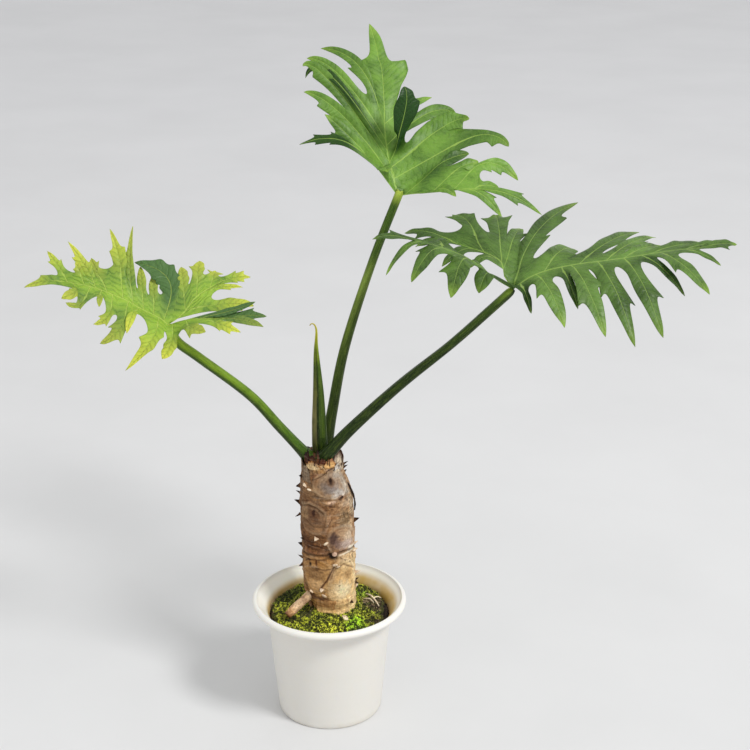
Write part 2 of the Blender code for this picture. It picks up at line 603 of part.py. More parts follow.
LEFT_LEAF = {
    "origin": (-0.1994, -0.0150, 0.5662),
    "normal": (-0.05, -0.60, 0.80),
    "midrib": {
        "points": [(0, 0, 0), (-10, 3, 8), (-35, 6, 20), (-50, 8, 29), (-70, 9, 38), (-91, 10, 46),
                   (-113, 9, 52), (-132, 8, 55)],
        "parts": 20,
        "tip": lobe(1.0, (-178, 0, 50), 6, web=7, arch=4, back="barb", front="plain"),
        "left": [
            lobe(0.12, (-48, -60, -39), 9, web=16, via=(-17, -44, -8),
                 back=((0.12, 1.10), (0.24, 1.50), (0.27, 0.80), (0.50, 1.20), (0.52, 0.60), (0.90, 0.25)),
                 front=((0.12, 1.10), (0.24, 1.10), (0.38, 1.90), (0.46, 0.90), (0.70, 0.70), (0.90, 0.30))),
            lobe(0.30, (-46, -42, 4), 6, web=16, arch=8, back="plain"),
            lobe(0.40, (-80, -44, -9), 9, web=(16, 18), via=(-56, -34, 7), back="tooth", front="low_tooth"),
            lobe(0.55, (-89, -30, 12), 6, web=(18, 14), via=(-72, -18, 18), back="tooth", front="tooth"),
            lobe(0.66, (-82, -20, 31), 4, web=14, arch=4),
            lobe(0.76, (-122, -26, 39), 5, web=(14, 22), via=(-106, -20, 34), back="low_tooth"),
            lobe(0.88, (-128, -22, 43), 8, web=(22, 14), via=(-110, -8, 49), back="plain", front="wavy")],
        "right": [
            lobe(0.04, (-46, 50, 67), 14, web=(30, 24), via=(-1, 38, 46), back="wavy", front="wavy"),
            lobe(0.16, (-22, 46, 52), 6, web=(26, 22), arch=2),
            lobe(0.26, (-38, 48, 62), 6, web=(22, 24), arch=2),
            lobe(0.36, (-47, 62, 112), 5, web=(24, 36), via=(-50, 36, 66), back="narrow", front="barb"),
            lobe(0.46, (-76, 58, 109), 6, web=(36, 36), via=(-62, 36, 74), back="barb", front="barb"),
            lobe(0.58, (-99, 40, 76), 5, web=(36, 22), via=(-88, 24, 58), back="tooth"),
            lobe(0.70, (-128, 44, 97), 6, web=(22, 16), via=(-102, 25, 66), back="low_tooth",
                 front="two_teeth"),
            lobe(0.82, (-116, 22, 76), 4, web=14, arch=3, front="barb"),
            lobe(0.95, (-152, 30, 88), 5, web=12, arch=3, back="low_tooth", front="tooth")],
    },
    "first_basal": {
        "points": [(0, 0, 0), (14, 6, 8), (24, 12, 18), (33, 20, 29), (49, 30, 38), (64, 38, 44)],
        "parts": 12,
        "tip": lobe(1.0, (103, 44, 49), 6, web=9, arch=3, back="two_teeth", front="two_teeth"),
        "left": [
            lobe(0.36, (13, 56, 59), 8, web=(24, 26), arch=4, back="tooth", front="wavy"),
            lobe(0.56, (36, 60, 66), 8, web=(26, 26), arch=4, back="tooth", front="wavy"),
            lobe(0.82, (58, 58, 52), 7, web=(22, 14), arch=4, back="tooth", front="tooth")],
        "right": [
            lobe(0.34, (108, 20, 18), 8, web=(14, 20), via=(74, 18, 22), back="two_teeth", front="wavy"),
            lobe(0.76, (93, 34, 39), 4, web=10, arch=3, back="tooth")],
    },
    "second_basal": {
        "points": [(0, 0, 0), (22, -6, 9), (46, -14, 14), (74, -20, 15)],
        "parts": 12,
        "tip": lobe(1.0, (127, -24, 20), 7, web=10, arch=3, back="tooth", front="tooth"),
        "right": [
            lobe(0.10, (-3, -50, -27), 8, web=16, via=(7, -32, -13), back="wavy", front="wavy"),
            lobe(0.32, (53, -50, 9), 9, web=18, via=(32, -34, 9), back="tooth", front="wavy"),
            lobe(0.66, (96, -44, 6), 6, web=14, via=(72, -36, 13), back="two_teeth", front="tooth"),
            lobe(0.90, (124, -40, 12), 6, web=12, arch=4)],
        "left": [
            lobe(0.50, (113, -20, 38), 5, web=8, via=(80, -16, 24), back="wavy")],
    },
}


def rib_side(ids, lobes, outward, bare=False):
    """Spread the lobes of one side of a rib over its vertices, in walking order round the leaf."""
    last = len(ids) - 1
    veins = [round(item["at"] * last) for item in lobes]
    cuts = [0] + [math.ceil((a + b) / 2) for a, b in zip(veins, veins[1:])] + [last]
    if bare:
        cuts[0] = max(1, veins[0] - 2)
    steps = []
    for i, item in enumerate(lobes):
        path = ids[cuts[i]:cuts[i + 1] + 1]
        vein = min(max(veins[i] - cuts[i], 0), len(path) - 1)
        order = 1 if outward else -1
        if not outward:
            vein = len(path) - 1 - vein
        steps.append({"path": path[::order], "vein": vein, "margins": item["margins"][::order],
                      "webs": item["webs"][::order], "lobe": item})
    return steps if outward else steps[::-1]


def leaf_cage(leaf):
    """The blade as one sheet: every lobe is a strip of rows that shares a notch with each neighbour."""
    verts = [Vector((0, 0, 0))]
    normal = Vector(leaf["normal"]).normalized()
    walk = []
    # out along each rib's right side, round its end lobe and back along its left side
    for name in ("first_basal", "midrib", "second_basal"):
        rib = leaf[name]
        ids = [0]
        for p in smooth_curve(rib["points"], rib["parts"] + 1)[1:]:
            ids.append(len(verts))
            verts.append(p)
        end = rib["tip"]
        walk += rib_side(ids, rib["right"], True, bare=name == "first_basal")
        walk.append({"path": ids[-1:], "vein": 0, "margins": end["margins"], "webs": end["webs"],
                     "lobe": end})
        walk += rib_side(ids, rib["left"], False, bare=name == "second_basal")

    def vein_point(step, share):
        item = step["lobe"]
        root = verts[step["path"][step["vein"]]]
        middle = item["via"] or (root + item["tip"]) / 2 + Vector((0, 0, item["arch"]))
        bend = middle * 2 - (root + item["tip"]) / 2
        return (1 - share) ** 2 * root + 2 * share * (1 - share) * bend + share ** 2 * item["tip"]

    def margin_point(step, share, width, hand):
        """A point beside the vein: hand is 1 for the left margin and -1 for the right one."""
        ahead = vein_point(step, min(share + 0.02, 1.0)) - vein_point(step, max(share - 0.02, 0.0))
        ahead.normalize()
        across = normal.cross(ahead).normalized()
        turn = math.radians(step["lobe"]["turn"])
        across = across * math.cos(turn) + ahead.cross(across) * math.sin(turn)
        return vein_point(step, share) + across * (hand * width * step["lobe"]["wide"])

    for step in walk:
        reach = (step["lobe"]["tip"] - verts[step["path"][step["vein"]]]).length
        step["notch"] = [min(0.62, web / reach) for web in step["webs"]]

    notches = [walk[0]["path"][0]]
    for a, b in zip(walk, walk[1:]):
        spot = (margin_point(a, a["notch"][1], 0.62, 1) + margin_point(b, b["notch"][0], 0.62, -1)) / 2
        notches.append(len(verts))
        verts.append(spot)
    notches.append(walk[-1]["path"][-1])

    faces = []
    for number, step in enumerate(walk):
        start = min(step["notch"])
        veins = []
        for along in [start * 0.75] + [start + (1 - start) * share for share in step["lobe"]["shares"]]:
            veins.append(len(verts))
            verts.append(vein_point(step, along))
        columns = []
        for side, hand in ((0, -1), (1, 1)):
            notch = step["notch"][side]
            column = [notches[number + side]]
            for share, width in step["margins"][side]:
                column.append(len(verts))
                verts.append(margin_point(step, notch + (1 - notch) * share, width, hand))
            columns.append(column)
        right, left = columns
        tip = len(verts)
        verts.append(step["lobe"]["tip"].copy())
        path, vein = step["path"], step["vein"]
        faces.append([right[0]] + path[:vein + 1] + [veins[0]])
        faces.append(path[vein:] + [left[0], veins[0]])
        for row in range(len(veins) - 1):
            faces.append([right[row], veins[row], veins[row + 1], right[row + 1]])
            faces.append([veins[row], left[row], left[row + 1], veins[row + 1]])
        faces.append([right[-1], veins[-1], tip])
        faces.append([veins[-1], left[-1], tip])
    # corners that two neighbours share drop out of the faces
    rings = [[v for i, v in enumerate(face) if v != face[i - 1]] for face in faces]
    origin = Vector(leaf["origin"])
    return [origin + v * MM for v in verts], [ring for ring in rings if len(ring) > 2]


def make_leaf(name, leaf, mat):
    verts, faces = leaf_cage(leaf)
    obj = add_object(name, verts, faces, mat, angle=80)
    bm = bmesh.new()
    bm.from_mesh(obj.data)
    bmesh.ops.triangulate(bm, faces=bm.faces, quad_method="BEAUTY", ngon_method="BEAUTY")
    bm.to_mesh(obj.data)
    bm.free()
    thick = obj.modifiers.new("blade", "SOLIDIFY")
    thick.thickness = BLADE
    thick.offset = 0.0
    return obj


def main():
    clear_scene()
    cream = make_material("cream_plastic", (0.86, 0.83, 0.72), 0.38)
    soil = make_material("dark_soil", (0.05, 0.035, 0.022), 0.95)
    moss = make_material("green_moss", (0.20, 0.32, 0.04), 0.95)
    bark = make_material("scarred_bark", (0.27, 0.19, 0.12), 0.85)
    stalk = make_material("green_stalk", (0.07, 0.18, 0.03), 0.40)
    leaf = make_material("green_leaf", (0.10, 0.28, 0.05), 0.38)
    young = make_material("young_leaf", (0.36, 0.52, 0.08), 0.42)

    make_pot(cream)
    make_potting_mix(soil)
    make_moss(moss)
    make_trunk(bark)
    for name in PETIOLES:
        make_petiole(name, stalk)
    make_spear(stalk)
    make_leaf("leaf_right", RIGHT_LEAF, leaf)
    make_leaf("leaf_top", TOP_LEAF, leaf)
    make_leaf("leaf_left", LEFT_LEAF, young)


main()
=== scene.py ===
# Looks of the potted lacy tree philodendron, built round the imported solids.
# Metres, +Z up, +X to the photo's right, +Y to the back.
import json
import math
import random

import bmesh
import bpy
import numpy as np
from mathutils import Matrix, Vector, noise
from mathutils.geometry import interpolate_bezier

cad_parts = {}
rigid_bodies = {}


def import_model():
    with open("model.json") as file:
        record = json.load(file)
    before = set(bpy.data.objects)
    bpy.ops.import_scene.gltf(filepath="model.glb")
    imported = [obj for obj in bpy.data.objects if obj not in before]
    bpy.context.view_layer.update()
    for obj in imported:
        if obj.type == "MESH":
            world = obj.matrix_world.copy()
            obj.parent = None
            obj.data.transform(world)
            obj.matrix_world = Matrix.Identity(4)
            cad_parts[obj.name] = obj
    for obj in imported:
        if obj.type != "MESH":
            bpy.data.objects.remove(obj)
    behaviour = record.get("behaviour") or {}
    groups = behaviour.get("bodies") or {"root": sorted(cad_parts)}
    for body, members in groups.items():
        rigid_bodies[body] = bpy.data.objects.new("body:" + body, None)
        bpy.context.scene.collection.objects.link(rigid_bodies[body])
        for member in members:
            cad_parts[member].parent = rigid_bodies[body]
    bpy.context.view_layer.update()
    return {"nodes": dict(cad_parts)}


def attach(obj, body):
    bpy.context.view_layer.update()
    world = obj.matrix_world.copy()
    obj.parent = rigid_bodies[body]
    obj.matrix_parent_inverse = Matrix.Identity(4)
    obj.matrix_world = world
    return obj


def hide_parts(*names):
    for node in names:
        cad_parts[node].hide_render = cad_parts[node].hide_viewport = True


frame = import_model()
mm = 0.001


# node helpers

def addNode(tree, kind, **values):
    node = tree.nodes.new(kind)
    for key, value in values.items():
        setattr(node, key, value)
    return node


def link(tree, source, target):
    tree.links.new(source, target)


def feed(tree, target, value):
    # a number, a colour or another node's output into an input
    if isinstance(value, bpy.types.NodeSocket):
        tree.links.new(value, target)
    elif value is not None:
        target.default_value = value


def mathNode(tree, operation, a, b=None):
    node = addNode(tree, "ShaderNodeMath", operation=operation)
    for socket, value in zip(node.inputs, (a, b)):
        feed(tree, socket, value)
    return node.outputs[0]


def times(tree, a, b):
    return mathNode(tree, "MULTIPLY", a, b)


def plus(tree, a, b):
    return mathNode(tree, "ADD", a, b)


def mapRange(tree, value, low, high, toLow=0.0, toHigh=1.0, smooth=False):
    node = addNode(tree, "ShaderNodeMapRange")
    node.interpolation_type = "SMOOTHSTEP" if smooth else "LINEAR"
    for socket, item in zip(node.inputs, (value, low, high, toLow, toHigh)):
        feed(tree, socket, item)
    return node.outputs[0]


def mixColour(tree, share, a, b, blend="MIX"):
    node = addNode(tree, "ShaderNodeMix", data_type="RGBA", blend_type=blend)
    feed(tree, node.inputs["Factor"], share)
    feed(tree, node.inputs[6], a if isinstance(a, bpy.types.NodeSocket) else (*a[:3], 1))
    feed(tree, node.inputs[7], b if isinstance(b, bpy.types.NodeSocket) else (*b[:3], 1))
    return node.outputs[2]


def noiseNode(tree, vector, scale, detail=3.0, rough=0.55):
    node = addNode(tree, "ShaderNodeTexNoise")
    feed(tree, node.inputs["Vector"], vector)
    node.inputs["Scale"].default_value = scale
    node.inputs["Detail"].default_value = detail
    node.inputs["Roughness"].default_value = rough
    return node.outputs["Fac"]


def stretched(tree, vector, scale):
    node = addNode(tree, "ShaderNodeMapping")
    feed(tree, node.inputs["Vector"], vector)
    node.inputs["Scale"].default_value = scale
    return node.outputs["Vector"]


def attribute(tree, name, output="Fac"):
    return addNode(tree, "ShaderNodeAttribute", attribute_name=name).outputs[output]


def objectPlace(tree):
    return addNode(tree, "ShaderNodeTexCoord").outputs["Object"]


def newMaterial(name):
    mat = bpy.data.materials.new(name)
    mat.use_nodes = True
    tree = mat.node_tree
    return mat, tree, tree.nodes["Principled BSDF"]


def bump(tree, shader, height, strength, distance):
    node = addNode(tree, "ShaderNodeBump")
    node.inputs["Strength"].default_value = strength
    node.inputs["Distance"].default_value = distance
    feed(tree, node.inputs["Height"], height)
    link(tree, node.outputs["Normal"], shader.inputs["Normal"])


def lightInto(shader, weight, radius):
    # the radius is in metres for red, green and blue
    shader.inputs["Subsurface Weight"].default_value = weight
    shader.inputs["Subsurface Radius"].default_value = radius
    shader.inputs["Subsurface Scale"].default_value = 1.0


def newGroup(name, inputs, outputs):
    # a shader node group with named sockets; returns it with its two end nodes
    tree = bpy.data.node_groups.new(name, "ShaderNodeTree")
    for label, kind, value in inputs:
        socket = tree.interface.new_socket(name=label, in_out="INPUT", socket_type=kind)
        if value is not None:
            socket.default_value = value
    for label, kind in outputs:
        tree.interface.new_socket(name=label, in_out="OUTPUT", socket_type=kind)
    return tree, tree.nodes.new("NodeGroupInput"), tree.nodes.new("NodeGroupOutput")


def useGroup(tree, group, **values):
    node = addNode(tree, "ShaderNodeGroup", node_tree=group)
    for label, value in values.items():
        feed(tree, node.inputs[label], value)
    return node


# shared surface effects

def makeSpeckleGroup():
    # small spots of two sizes and a soft large mottling, on Object coordinates
    floatSocket = "NodeSocketFloat"
    tree, start, end = newGroup(
        "speckle", [("Vector", "NodeSocketVector", None), ("Size", floatSocket, 300.0),
                    ("Amount", floatSocket, 0.5)],
        [("Spots", floatSocket), ("Mottle", floatSocket)])
    fine = addNode(tree, "ShaderNodeTexNoise")
    link(tree, start.outputs["Vector"], fine.inputs["Vector"])
    link(tree, start.outputs["Size"], fine.inputs["Scale"])
    fine.inputs["Detail"].default_value = 2.0
    spots = mapRange(tree, fine.outputs["Fac"], 0.56, 0.7)
    spots = times(tree, spots, start.outputs["Amount"])
    wide = addNode(tree, "ShaderNodeTexNoise")
    link(tree, start.outputs["Vector"], wide.inputs["Vector"])
    link(tree, times(tree, start.outputs["Size"], 0.08), wide.inputs["Scale"])
    wide.inputs["Detail"].default_value = 4.0
    link(tree, spots, end.inputs["Spots"])
    link(tree, mapRange(tree, wide.outputs["Fac"], 0.35, 0.65), end.inputs["Mottle"])
    return tree


def makeVeinGroup():
    # UV holds millimetres across and along a lobe; rib is the distance from a main rib in rib widths
    floatSocket = "NodeSocketFloat"
    tree, start, end = newGroup(
        "leafVeins", [("UV", "NodeSocketVector", None), ("Rib", floatSocket, 9.0),
                      ("Tip", floatSocket, 0.0), ("Spacing", floatSocket, 8.0), ("Width", floatSocket, 0.62)],
        [("Main", floatSocket), ("Side", floatSocket), ("Net", floatSocket), ("Quilt", floatSocket)])
    parts = addNode(tree, "ShaderNodeSeparateXYZ")
    link(tree, start.outputs["UV"], parts.inputs[0])
    across, along = parts.outputs[0], parts.outputs[1]
    away = mathNode(tree, "ABSOLUTE", across)
    taper = mapRange(tree, start.outputs["Tip"], 0.0, 1.0, 1.0, 0.35)
    width = times(tree, start.outputs["Width"], taper)
    ratio = mathNode(tree, "DIVIDE", away, width)
    lobeVein = mapRange(tree, ratio, 0.6, 1.5, 1.0, 0.0, smooth=True)
    rib = mapRange(tree, start.outputs["Rib"], 0.55, 1.25, 1.0, 0.0, smooth=True)
    link(tree, mathNode(tree, "MAXIMUM", lobeVein, rib), end.inputs["Main"])
    # side veins leave the lobe's vein at a slant, by turns on either side
    wander = noiseNode(tree, start.outputs["UV"], 0.07, 3.0)
    slant = times(tree, away, 0.75)
    run = mathNode(tree, "SUBTRACT", along, slant)
    run = mathNode(tree, "DIVIDE", run, start.outputs["Spacing"])
    half = times(tree, mathNode(tree, "GREATER_THAN", across, 0.0), 0.5)
    run = plus(tree, run, half)
    run = plus(tree, run, times(tree, wander, 1.5))
    wave = mathNode(tree, "PINGPONG", run, 0.5)
    side = mapRange(tree, wave, 0.0, 0.075, 1.0, 0.0, smooth=True)
    fade = mapRange(tree, away, 3.0, 22.0, 1.0, 0.25)
    link(tree, times(tree, side, fade), end.inputs["Side"])
    net = addNode(tree, "ShaderNodeTexVoronoi", feature="DISTANCE_TO_EDGE")
    link(tree, start.outputs["UV"], net.inputs["Vector"])
    net.inputs["Scale"].default_value = 0.42
    link(tree, mapRange(tree, net.outputs["Distance"], 0.0, 0.1, 1.0, 0.0), end.inputs["Net"])
    link(tree, mapRange(tree, wave, 0.0, 0.3, 0.0, 1.0, smooth=True), end.inputs["Quilt"])
    return tree


speckle = makeSpeckleGroup()
veins = makeVeinGroup()


# pieces made of rows of points

def smoothCurve(points, count):
    pts = [Vector(p) for p in points]
    dense = []
    for i in range(len(pts) - 1):
        before = pts[max(i - 1, 0)]
        after = pts[min(i + 2, len(pts) - 1)]
        handleA = pts[i] + (pts[i + 1] - before) / 6
        handleB = pts[i + 1] - (after - pts[i]) / 6
        piece = interpolate_bezier(pts[i], handleA, handleB, pts[i + 1], 17)
        dense += piece if i == 0 else piece[1:]
    run = np.cumsum([0.0] + [(b - a).length for a, b in zip(dense, dense[1:])])
    grid = np.array([tuple(p) for p in dense])
    return [Vector([np.interp(s, run, grid[:, k]) for k in range(3)]) for s in np.linspace(0, run[-1], count)]


def storeFloats(mesh, name, values):
    mesh.attributes.new(name, "FLOAT", "POINT").data.foreach_set("value", np.asarray(values, np.float32))


def evaluatedCopy(obj, name):
    depsgraph = bpy.context.evaluated_depsgraph_get()
    mesh = bpy.data.meshes.new_from_object(obj.evaluated_get(depsgraph))
    mesh.name = name
    return mesh


def newMesh(name, verts, faces):
    mesh = bpy.data.meshes.new(name)
    mesh.from_pydata(verts, [], faces)
    return mesh


def newObject(name, data):
    obj = bpy.data.objects.new(name, data)
    bpy.context.scene.collection.objects.link(obj)
    return obj


def addPiece(name, mesh, mat, replaces=None):
    mesh.materials.append(mat)
    mesh.shade_smooth()
    piece = newObject(name, mesh)
    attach(piece, "root")
    if replaces:
        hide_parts(replaces)
    return piece


def ringPoints(radius, height, sides):
    return [(radius * math.cos(math.tau * k / sides), radius * math.sin(math.tau * k / sides), height)
            for k in range(sides)]


def skinMesh(name, rows, along=None, around=1.0):
    # a closed tube of rows of points; its UV map "skin" holds millimetres round it and along it
    grid = np.asarray([[tuple(p) for p in row] for row in rows])
    count, sides = grid.shape[:2]
    along = list(range(count)) if along is None else along
    last = (count - 1) * sides
    verts = grid.reshape(-1, 3).tolist() + [grid[0].mean(0).tolist(), grid[-1].mean(0).tolist()]
    faces, uvs = [], []
    for k in range(sides):
        n = (k + 1) % sides
        left, right = k * around, (k + 1) * around
        faces += [(count * sides, n, k), (count * sides + 1, last + k, last + n)]
        uvs += [(left, along[0]), (right, along[0]), (left, along[0]),
                (left, along[-1]), (left, along[-1]), (right, along[-1])]
        for row in range(count - 1):
            a, b = row * sides, (row + 1) * sides
            faces.append((a + k, a + n, b + n, b + k))
            uvs += [(left, along[row]), (right, along[row]), (right, along[row + 1]), (left, along[row + 1])]
    mesh = newMesh(name, verts, faces)
    mesh.uv_layers.new(name="skin").data.foreach_set("uv", np.array(uvs, np.float32).ravel())
    return mesh


def tubeRows(points, radii, sides, flat=1.0, shape=None):
    # turn 0 is the side towards +X, a quarter turn is the back
    rows = []
    for i, centre in enumerate(points):
        ahead = (points[min(i + 1, len(points) - 1)] - points[max(i - 1, 0)]).normalized()
        side = Vector((0, 1, 0)).cross(ahead).normalized()
        back = ahead.cross(side)
        row = []
        for k in range(sides):
            turn = math.tau * k / sides
            reach = float(radii[i] * (shape(turn, i / (len(points) - 1)) if shape else 1.0))
            row.append(centre + reach * (math.cos(turn) * side + flat * math.sin(turn) * back))
        rows.append(row)
    return rows


def storeColours(mesh, name, values):
    data = np.ones((len(mesh.vertices), 4), np.float32)
    data[:len(values), :3] = values
    data[len(values):, :3] = values[-1]
    mesh.attributes.new(name, "FLOAT_COLOR", "POINT").data.foreach_set("color", data.ravel())


def alongColours(table, shares):
    at = [row[0] for row in table]
    return np.stack([np.interp(shares, at, [row[1][k] for row in table]) for k in range(3)], -1)


def gaussian(distance, width):
    return np.exp(-(distance / width) ** 2)


def smoothStep(value, low, high):
    t = np.clip((value - low) / (high - low), 0, 1)
    return t * t * (3 - 2 * t)


def roughness(points, scale, seed=0.0):
    # smooth noise of a few octaves at every point, about -1 to 1
    shift = Vector((seed, seed * 0.7, -seed))
    return np.array([noise.fractal(Vector(p) * scale + shift, 0.9, 2.1, 4) for p in points])


# scattered small pieces

def makeScatterTree():
    tree = bpy.data.node_groups.new("scatter", "GeometryNodeTree")
    for label, kind in (("Geometry", "NodeSocketGeometry"), ("Stamp", "NodeSocketObject"),
                        ("Material", "NodeSocketMaterial"), ("Density", "NodeSocketFloat"),
                        ("Smallest", "NodeSocketFloat"), ("Largest", "NodeSocketFloat"),
                        ("Lean", "NodeSocketFloat"), ("Seed", "NodeSocketInt")):
        tree.interface.new_socket(name=label, in_out="INPUT", socket_type=kind)
    tree.interface.new_socket(name="Geometry", in_out="OUTPUT", socket_type="NodeSocketGeometry")
    start, end = tree.nodes.new("NodeGroupInput"), tree.nodes.new("NodeGroupOutput")

    def wire(source, out, target, into):
        link(tree, source.outputs[out], target.inputs[into])
    cover = addNode(tree, "GeometryNodeInputNamedAttribute", data_type="FLOAT")
    cover.inputs["Name"].default_value = "cover"
    density = times(tree, start.outputs["Density"], cover.outputs["Attribute"])
    points = addNode(tree, "GeometryNodeDistributePointsOnFaces")
    wire(start, "Geometry", points, "Mesh")
    link(tree, density, points.inputs["Density"])
    wire(start, "Seed", points, "Seed")
    tone = addNode(tree, "FunctionNodeRandomValue", data_type="FLOAT")
    wire(start, "Seed", tone, "Seed")
    kept = addNode(tree, "GeometryNodeStoreNamedAttribute", data_type="FLOAT", domain="POINT")
    kept.inputs["Name"].default_value = "tone"
    wire(points, "Points", kept, "Geometry")
    wire(tone, 1, kept, "Value")
    lean = addNode(tree, "FunctionNodeRandomValue", data_type="FLOAT_VECTOR")
    low, high = addNode(tree, "ShaderNodeCombineXYZ"), addNode(tree, "ShaderNodeCombineXYZ")
    negative = times(tree, start.outputs["Lean"], -1.0)
    for k in (0, 1):
        link(tree, negative, low.inputs[k])
        wire(start, "Lean", high, k)
    high.inputs[2].default_value = math.tau
    wire(low, 0, lean, 0)
    wire(high, 0, lean, 1)
    turned = addNode(tree, "FunctionNodeRotateRotation", rotation_space="LOCAL")
    wire(points, "Rotation", turned, "Rotation")
    wire(lean, 0, turned, "Rotate By")
    size = addNode(tree, "FunctionNodeRandomValue", data_type="FLOAT")
    wire(start, "Smallest", size, 2)
    wire(start, "Largest", size, 3)
    stamp = addNode(tree, "GeometryNodeObjectInfo")
    wire(start, "Stamp", stamp, "Object")
    placed = addNode(tree, "GeometryNodeInstanceOnPoints")
    wire(kept, "Geometry", placed, "Points")
    wire(stamp, "Geometry", placed, "Instance")
    wire(turned, "Rotation", placed, "Rotation")
    wire(size, 1, placed, "Scale")
    real = addNode(tree, "GeometryNodeRealizeInstances")
    wire(placed, "Instances", real, "Geometry")
    finish = addNode(tree, "GeometryNodeSetMaterial")
    wire(real, "Geometry", finish, "Geometry")
    wire(start, "Material", finish, "Material")
    wire(finish, "Geometry", end, "Geometry")
    return tree


scatterTree = makeScatterTree()


def scatter(name, surface, stamp, mat, values):
    # strews a stamp mesh over a surface mesh whose attribute "cover" says how densely
    holder, stampObj = newObject(name + "Ground", surface), newObject(name + "Stamp", stamp)
    step = holder.modifiers.new("scatter", "NODES")
    step.node_group = scatterTree
    inputs = {"Stamp": stampObj, "Material": mat, **values}
    for item in scatterTree.interface.items_tree:
        if item.in_out == "INPUT" and item.name in inputs:
            step[item.identifier] = inputs[item.name]
    mesh = evaluatedCopy(holder, name)
    for obj in (holder, stampObj):
        bpy.data.objects.remove(obj, do_unlink=True)
    mesh.materials.clear()
    return addPiece(name, mesh, mat)


def closedStamp(name, groups):
    # closed little bodies, each given as points of a convex form
    form = bmesh.new()
    for points in groups:
        verts = [form.verts.new(p) for p in points]
        bmesh.ops.convex_hull(form, input=verts)
    bmesh.ops.recalc_face_normals(form, faces=form.faces)
    mesh = bpy.data.meshes.new(name)
    form.to_mesh(mesh)
    form.free()
    return mesh


def starStamp(name, count, reach, wide, rise, seed):
    # a star of pointed leaflets that lean outwards
    dice = random.Random(seed)
    groups = []
    for k in range(count):
        turn = math.tau * k / count + dice.uniform(-0.3, 0.3)
        out, side = Vector((math.cos(turn), math.sin(turn), 0)), Vector((-math.sin(turn), math.cos(turn), 0))
        tip = out * reach * dice.uniform(0.7, 1.1) + Vector((0, 0, rise * dice.uniform(0.5, 1.2)))
        middle = tip * 0.5 + Vector((0, 0, rise * 0.25))
        groups.append([middle + side * wide, middle - side * wide, Vector((0, 0, -wide)), tip])
    return closedStamp(name, groups)


def lumpStamp(name, size, seed):
    dice = random.Random(seed)
    corners = 11
    spots = [Vector([dice.gauss(0, 1) for _ in range(3)]).normalized() * size * dice.uniform(0.75, 1.1)
             for _ in range(corners)]
    return closedStamp(name, [spots])


def stickStamp(name, length, wide, seed):
    dice = random.Random(seed)
    spots = []
    for x in (-0.5, 0.1, 0.5):
        for k in range(3):
            turn = math.tau * k / 3 + x
            spots.append(Vector((x * length, wide * math.cos(turn) * dice.uniform(0.6, 1.1),
                                 wide * math.sin(turn) * dice.uniform(0.6, 1.1) + wide * 0.6)))
    return closedStamp(name, [spots])


# leaf blades

leafLooks = {
    "mature": {"deep": (0.05, 0.14, 0.012), "light": (0.16, 0.325, 0.038), "young": (0.29, 0.47, 0.09),
               "vein": (0.4, 0.58, 0.11), "under": (0.08, 0.19, 0.022), "shade": (0.01, 0.048, 0.003),
               "tip": (0.25, 0.4, 0.045), "tipFrom": 0.8, "rough": 0.45, "crinkle": 0.5},
    "dark": {"deep": (0.02, 0.062, 0.006), "light": (0.105, 0.215, 0.032), "young": (0.21, 0.34, 0.075),
             "vein": (0.33, 0.48, 0.1), "under": (0.05, 0.115, 0.018), "shade": (0.006, 0.028, 0.003),
             "tip": (0.26, 0.42, 0.04), "tipFrom": 0.8, "rough": 0.4, "crinkle": 0.55},
    "fresh": {"deep": (0.07, 0.175, 0.02), "light": (0.23, 0.4, 0.034), "young": (0.39, 0.54, 0.06),
              "vein": (0.48, 0.62, 0.12), "under": (0.17, 0.3, 0.03), "shade": (0.07, 0.15, 0.04),
              "tip": (0.78, 0.76, 0.075), "tipFrom": 0.26, "rough": 0.5, "crinkle": 0.95},
}


def leafMaterial(name, look, under=False):
    mat, tree, shader = newMaterial(name)
    uv = addNode(tree, "ShaderNodeUVMap", uv_map="lobe").outputs["UV"]
    place = objectPlace(tree)
    tip = attribute(tree, "tipShare")
    tone = attribute(tree, "tone")
    vein = useGroup(tree, veins, UV=uv, Rib=attribute(tree, "ribShare"), Tip=tip)
    spots = useGroup(tree, speckle, Vector=place, Size=900.0, Amount=0.35)
    patches = noiseNode(tree, place, 34.0, 4.0)
    colour = mixColour(tree, mapRange(tree, patches, 0.38, 0.62), look["deep"], look["light"])
    # paler between the side veins and towards the margin
    colour = mixColour(tree, times(tree, vein.outputs["Quilt"], 0.45 * look["crinkle"]), colour,
                       look["young"])
    colour = mixColour(tree, mapRange(tree, tip, look["tipFrom"], 1.0, 0.0, 0.85), colour, look["tip"])
    colour = mixColour(tree, times(tree, vein.outputs["Net"], 0.16), colour, look["vein"])
    colour = mixColour(tree, times(tree, vein.outputs["Side"], 0.22), colour, look["vein"])
    if under:
        colour = mixColour(tree, 0.55, colour, look["under"])
    # painted shade: each lobe's tone darkens it towards the shade colour, for lobes that lie in shade, plus
    # random unevenness
    colour = mixColour(tree, tone, colour, look["shade"])
    colour = mixColour(tree, times(tree, vein.outputs["Main"], 0.55), colour, look["vein"])
    colour = mixColour(tree, times(tree, spots.outputs["Spots"], 0.25), colour, look["young"])
    link(tree, colour, shader.inputs["Base Color"])
    rough = mapRange(tree, patches, 0.3, 0.7, look["rough"] - 0.05, look["rough"] + 0.08)
    if under:
        rough = plus(tree, rough, 0.22)
    link(tree, rough, shader.inputs["Roughness"])
    relief = times(tree, vein.outputs["Quilt"], 0.55)
    relief = mathNode(tree, "SUBTRACT", relief, times(tree, vein.outputs["Main"], 0.6))
    relief = mathNode(tree, "SUBTRACT", relief, times(tree, vein.outputs["Net"], 0.1))
    bump(tree, shader, relief, look["crinkle"], -0.0012 if under else 0.0012)
    shader.inputs["Specular IOR Level"].default_value = 0.26
    lightInto(shader, 0.12, (0.0012, 0.0022, 0.0004))
    shader.inputs["Coat Weight"].default_value = 0.0 if under else 0.05
    shader.inputs["Coat Roughness"].default_value = 0.22
    return mat


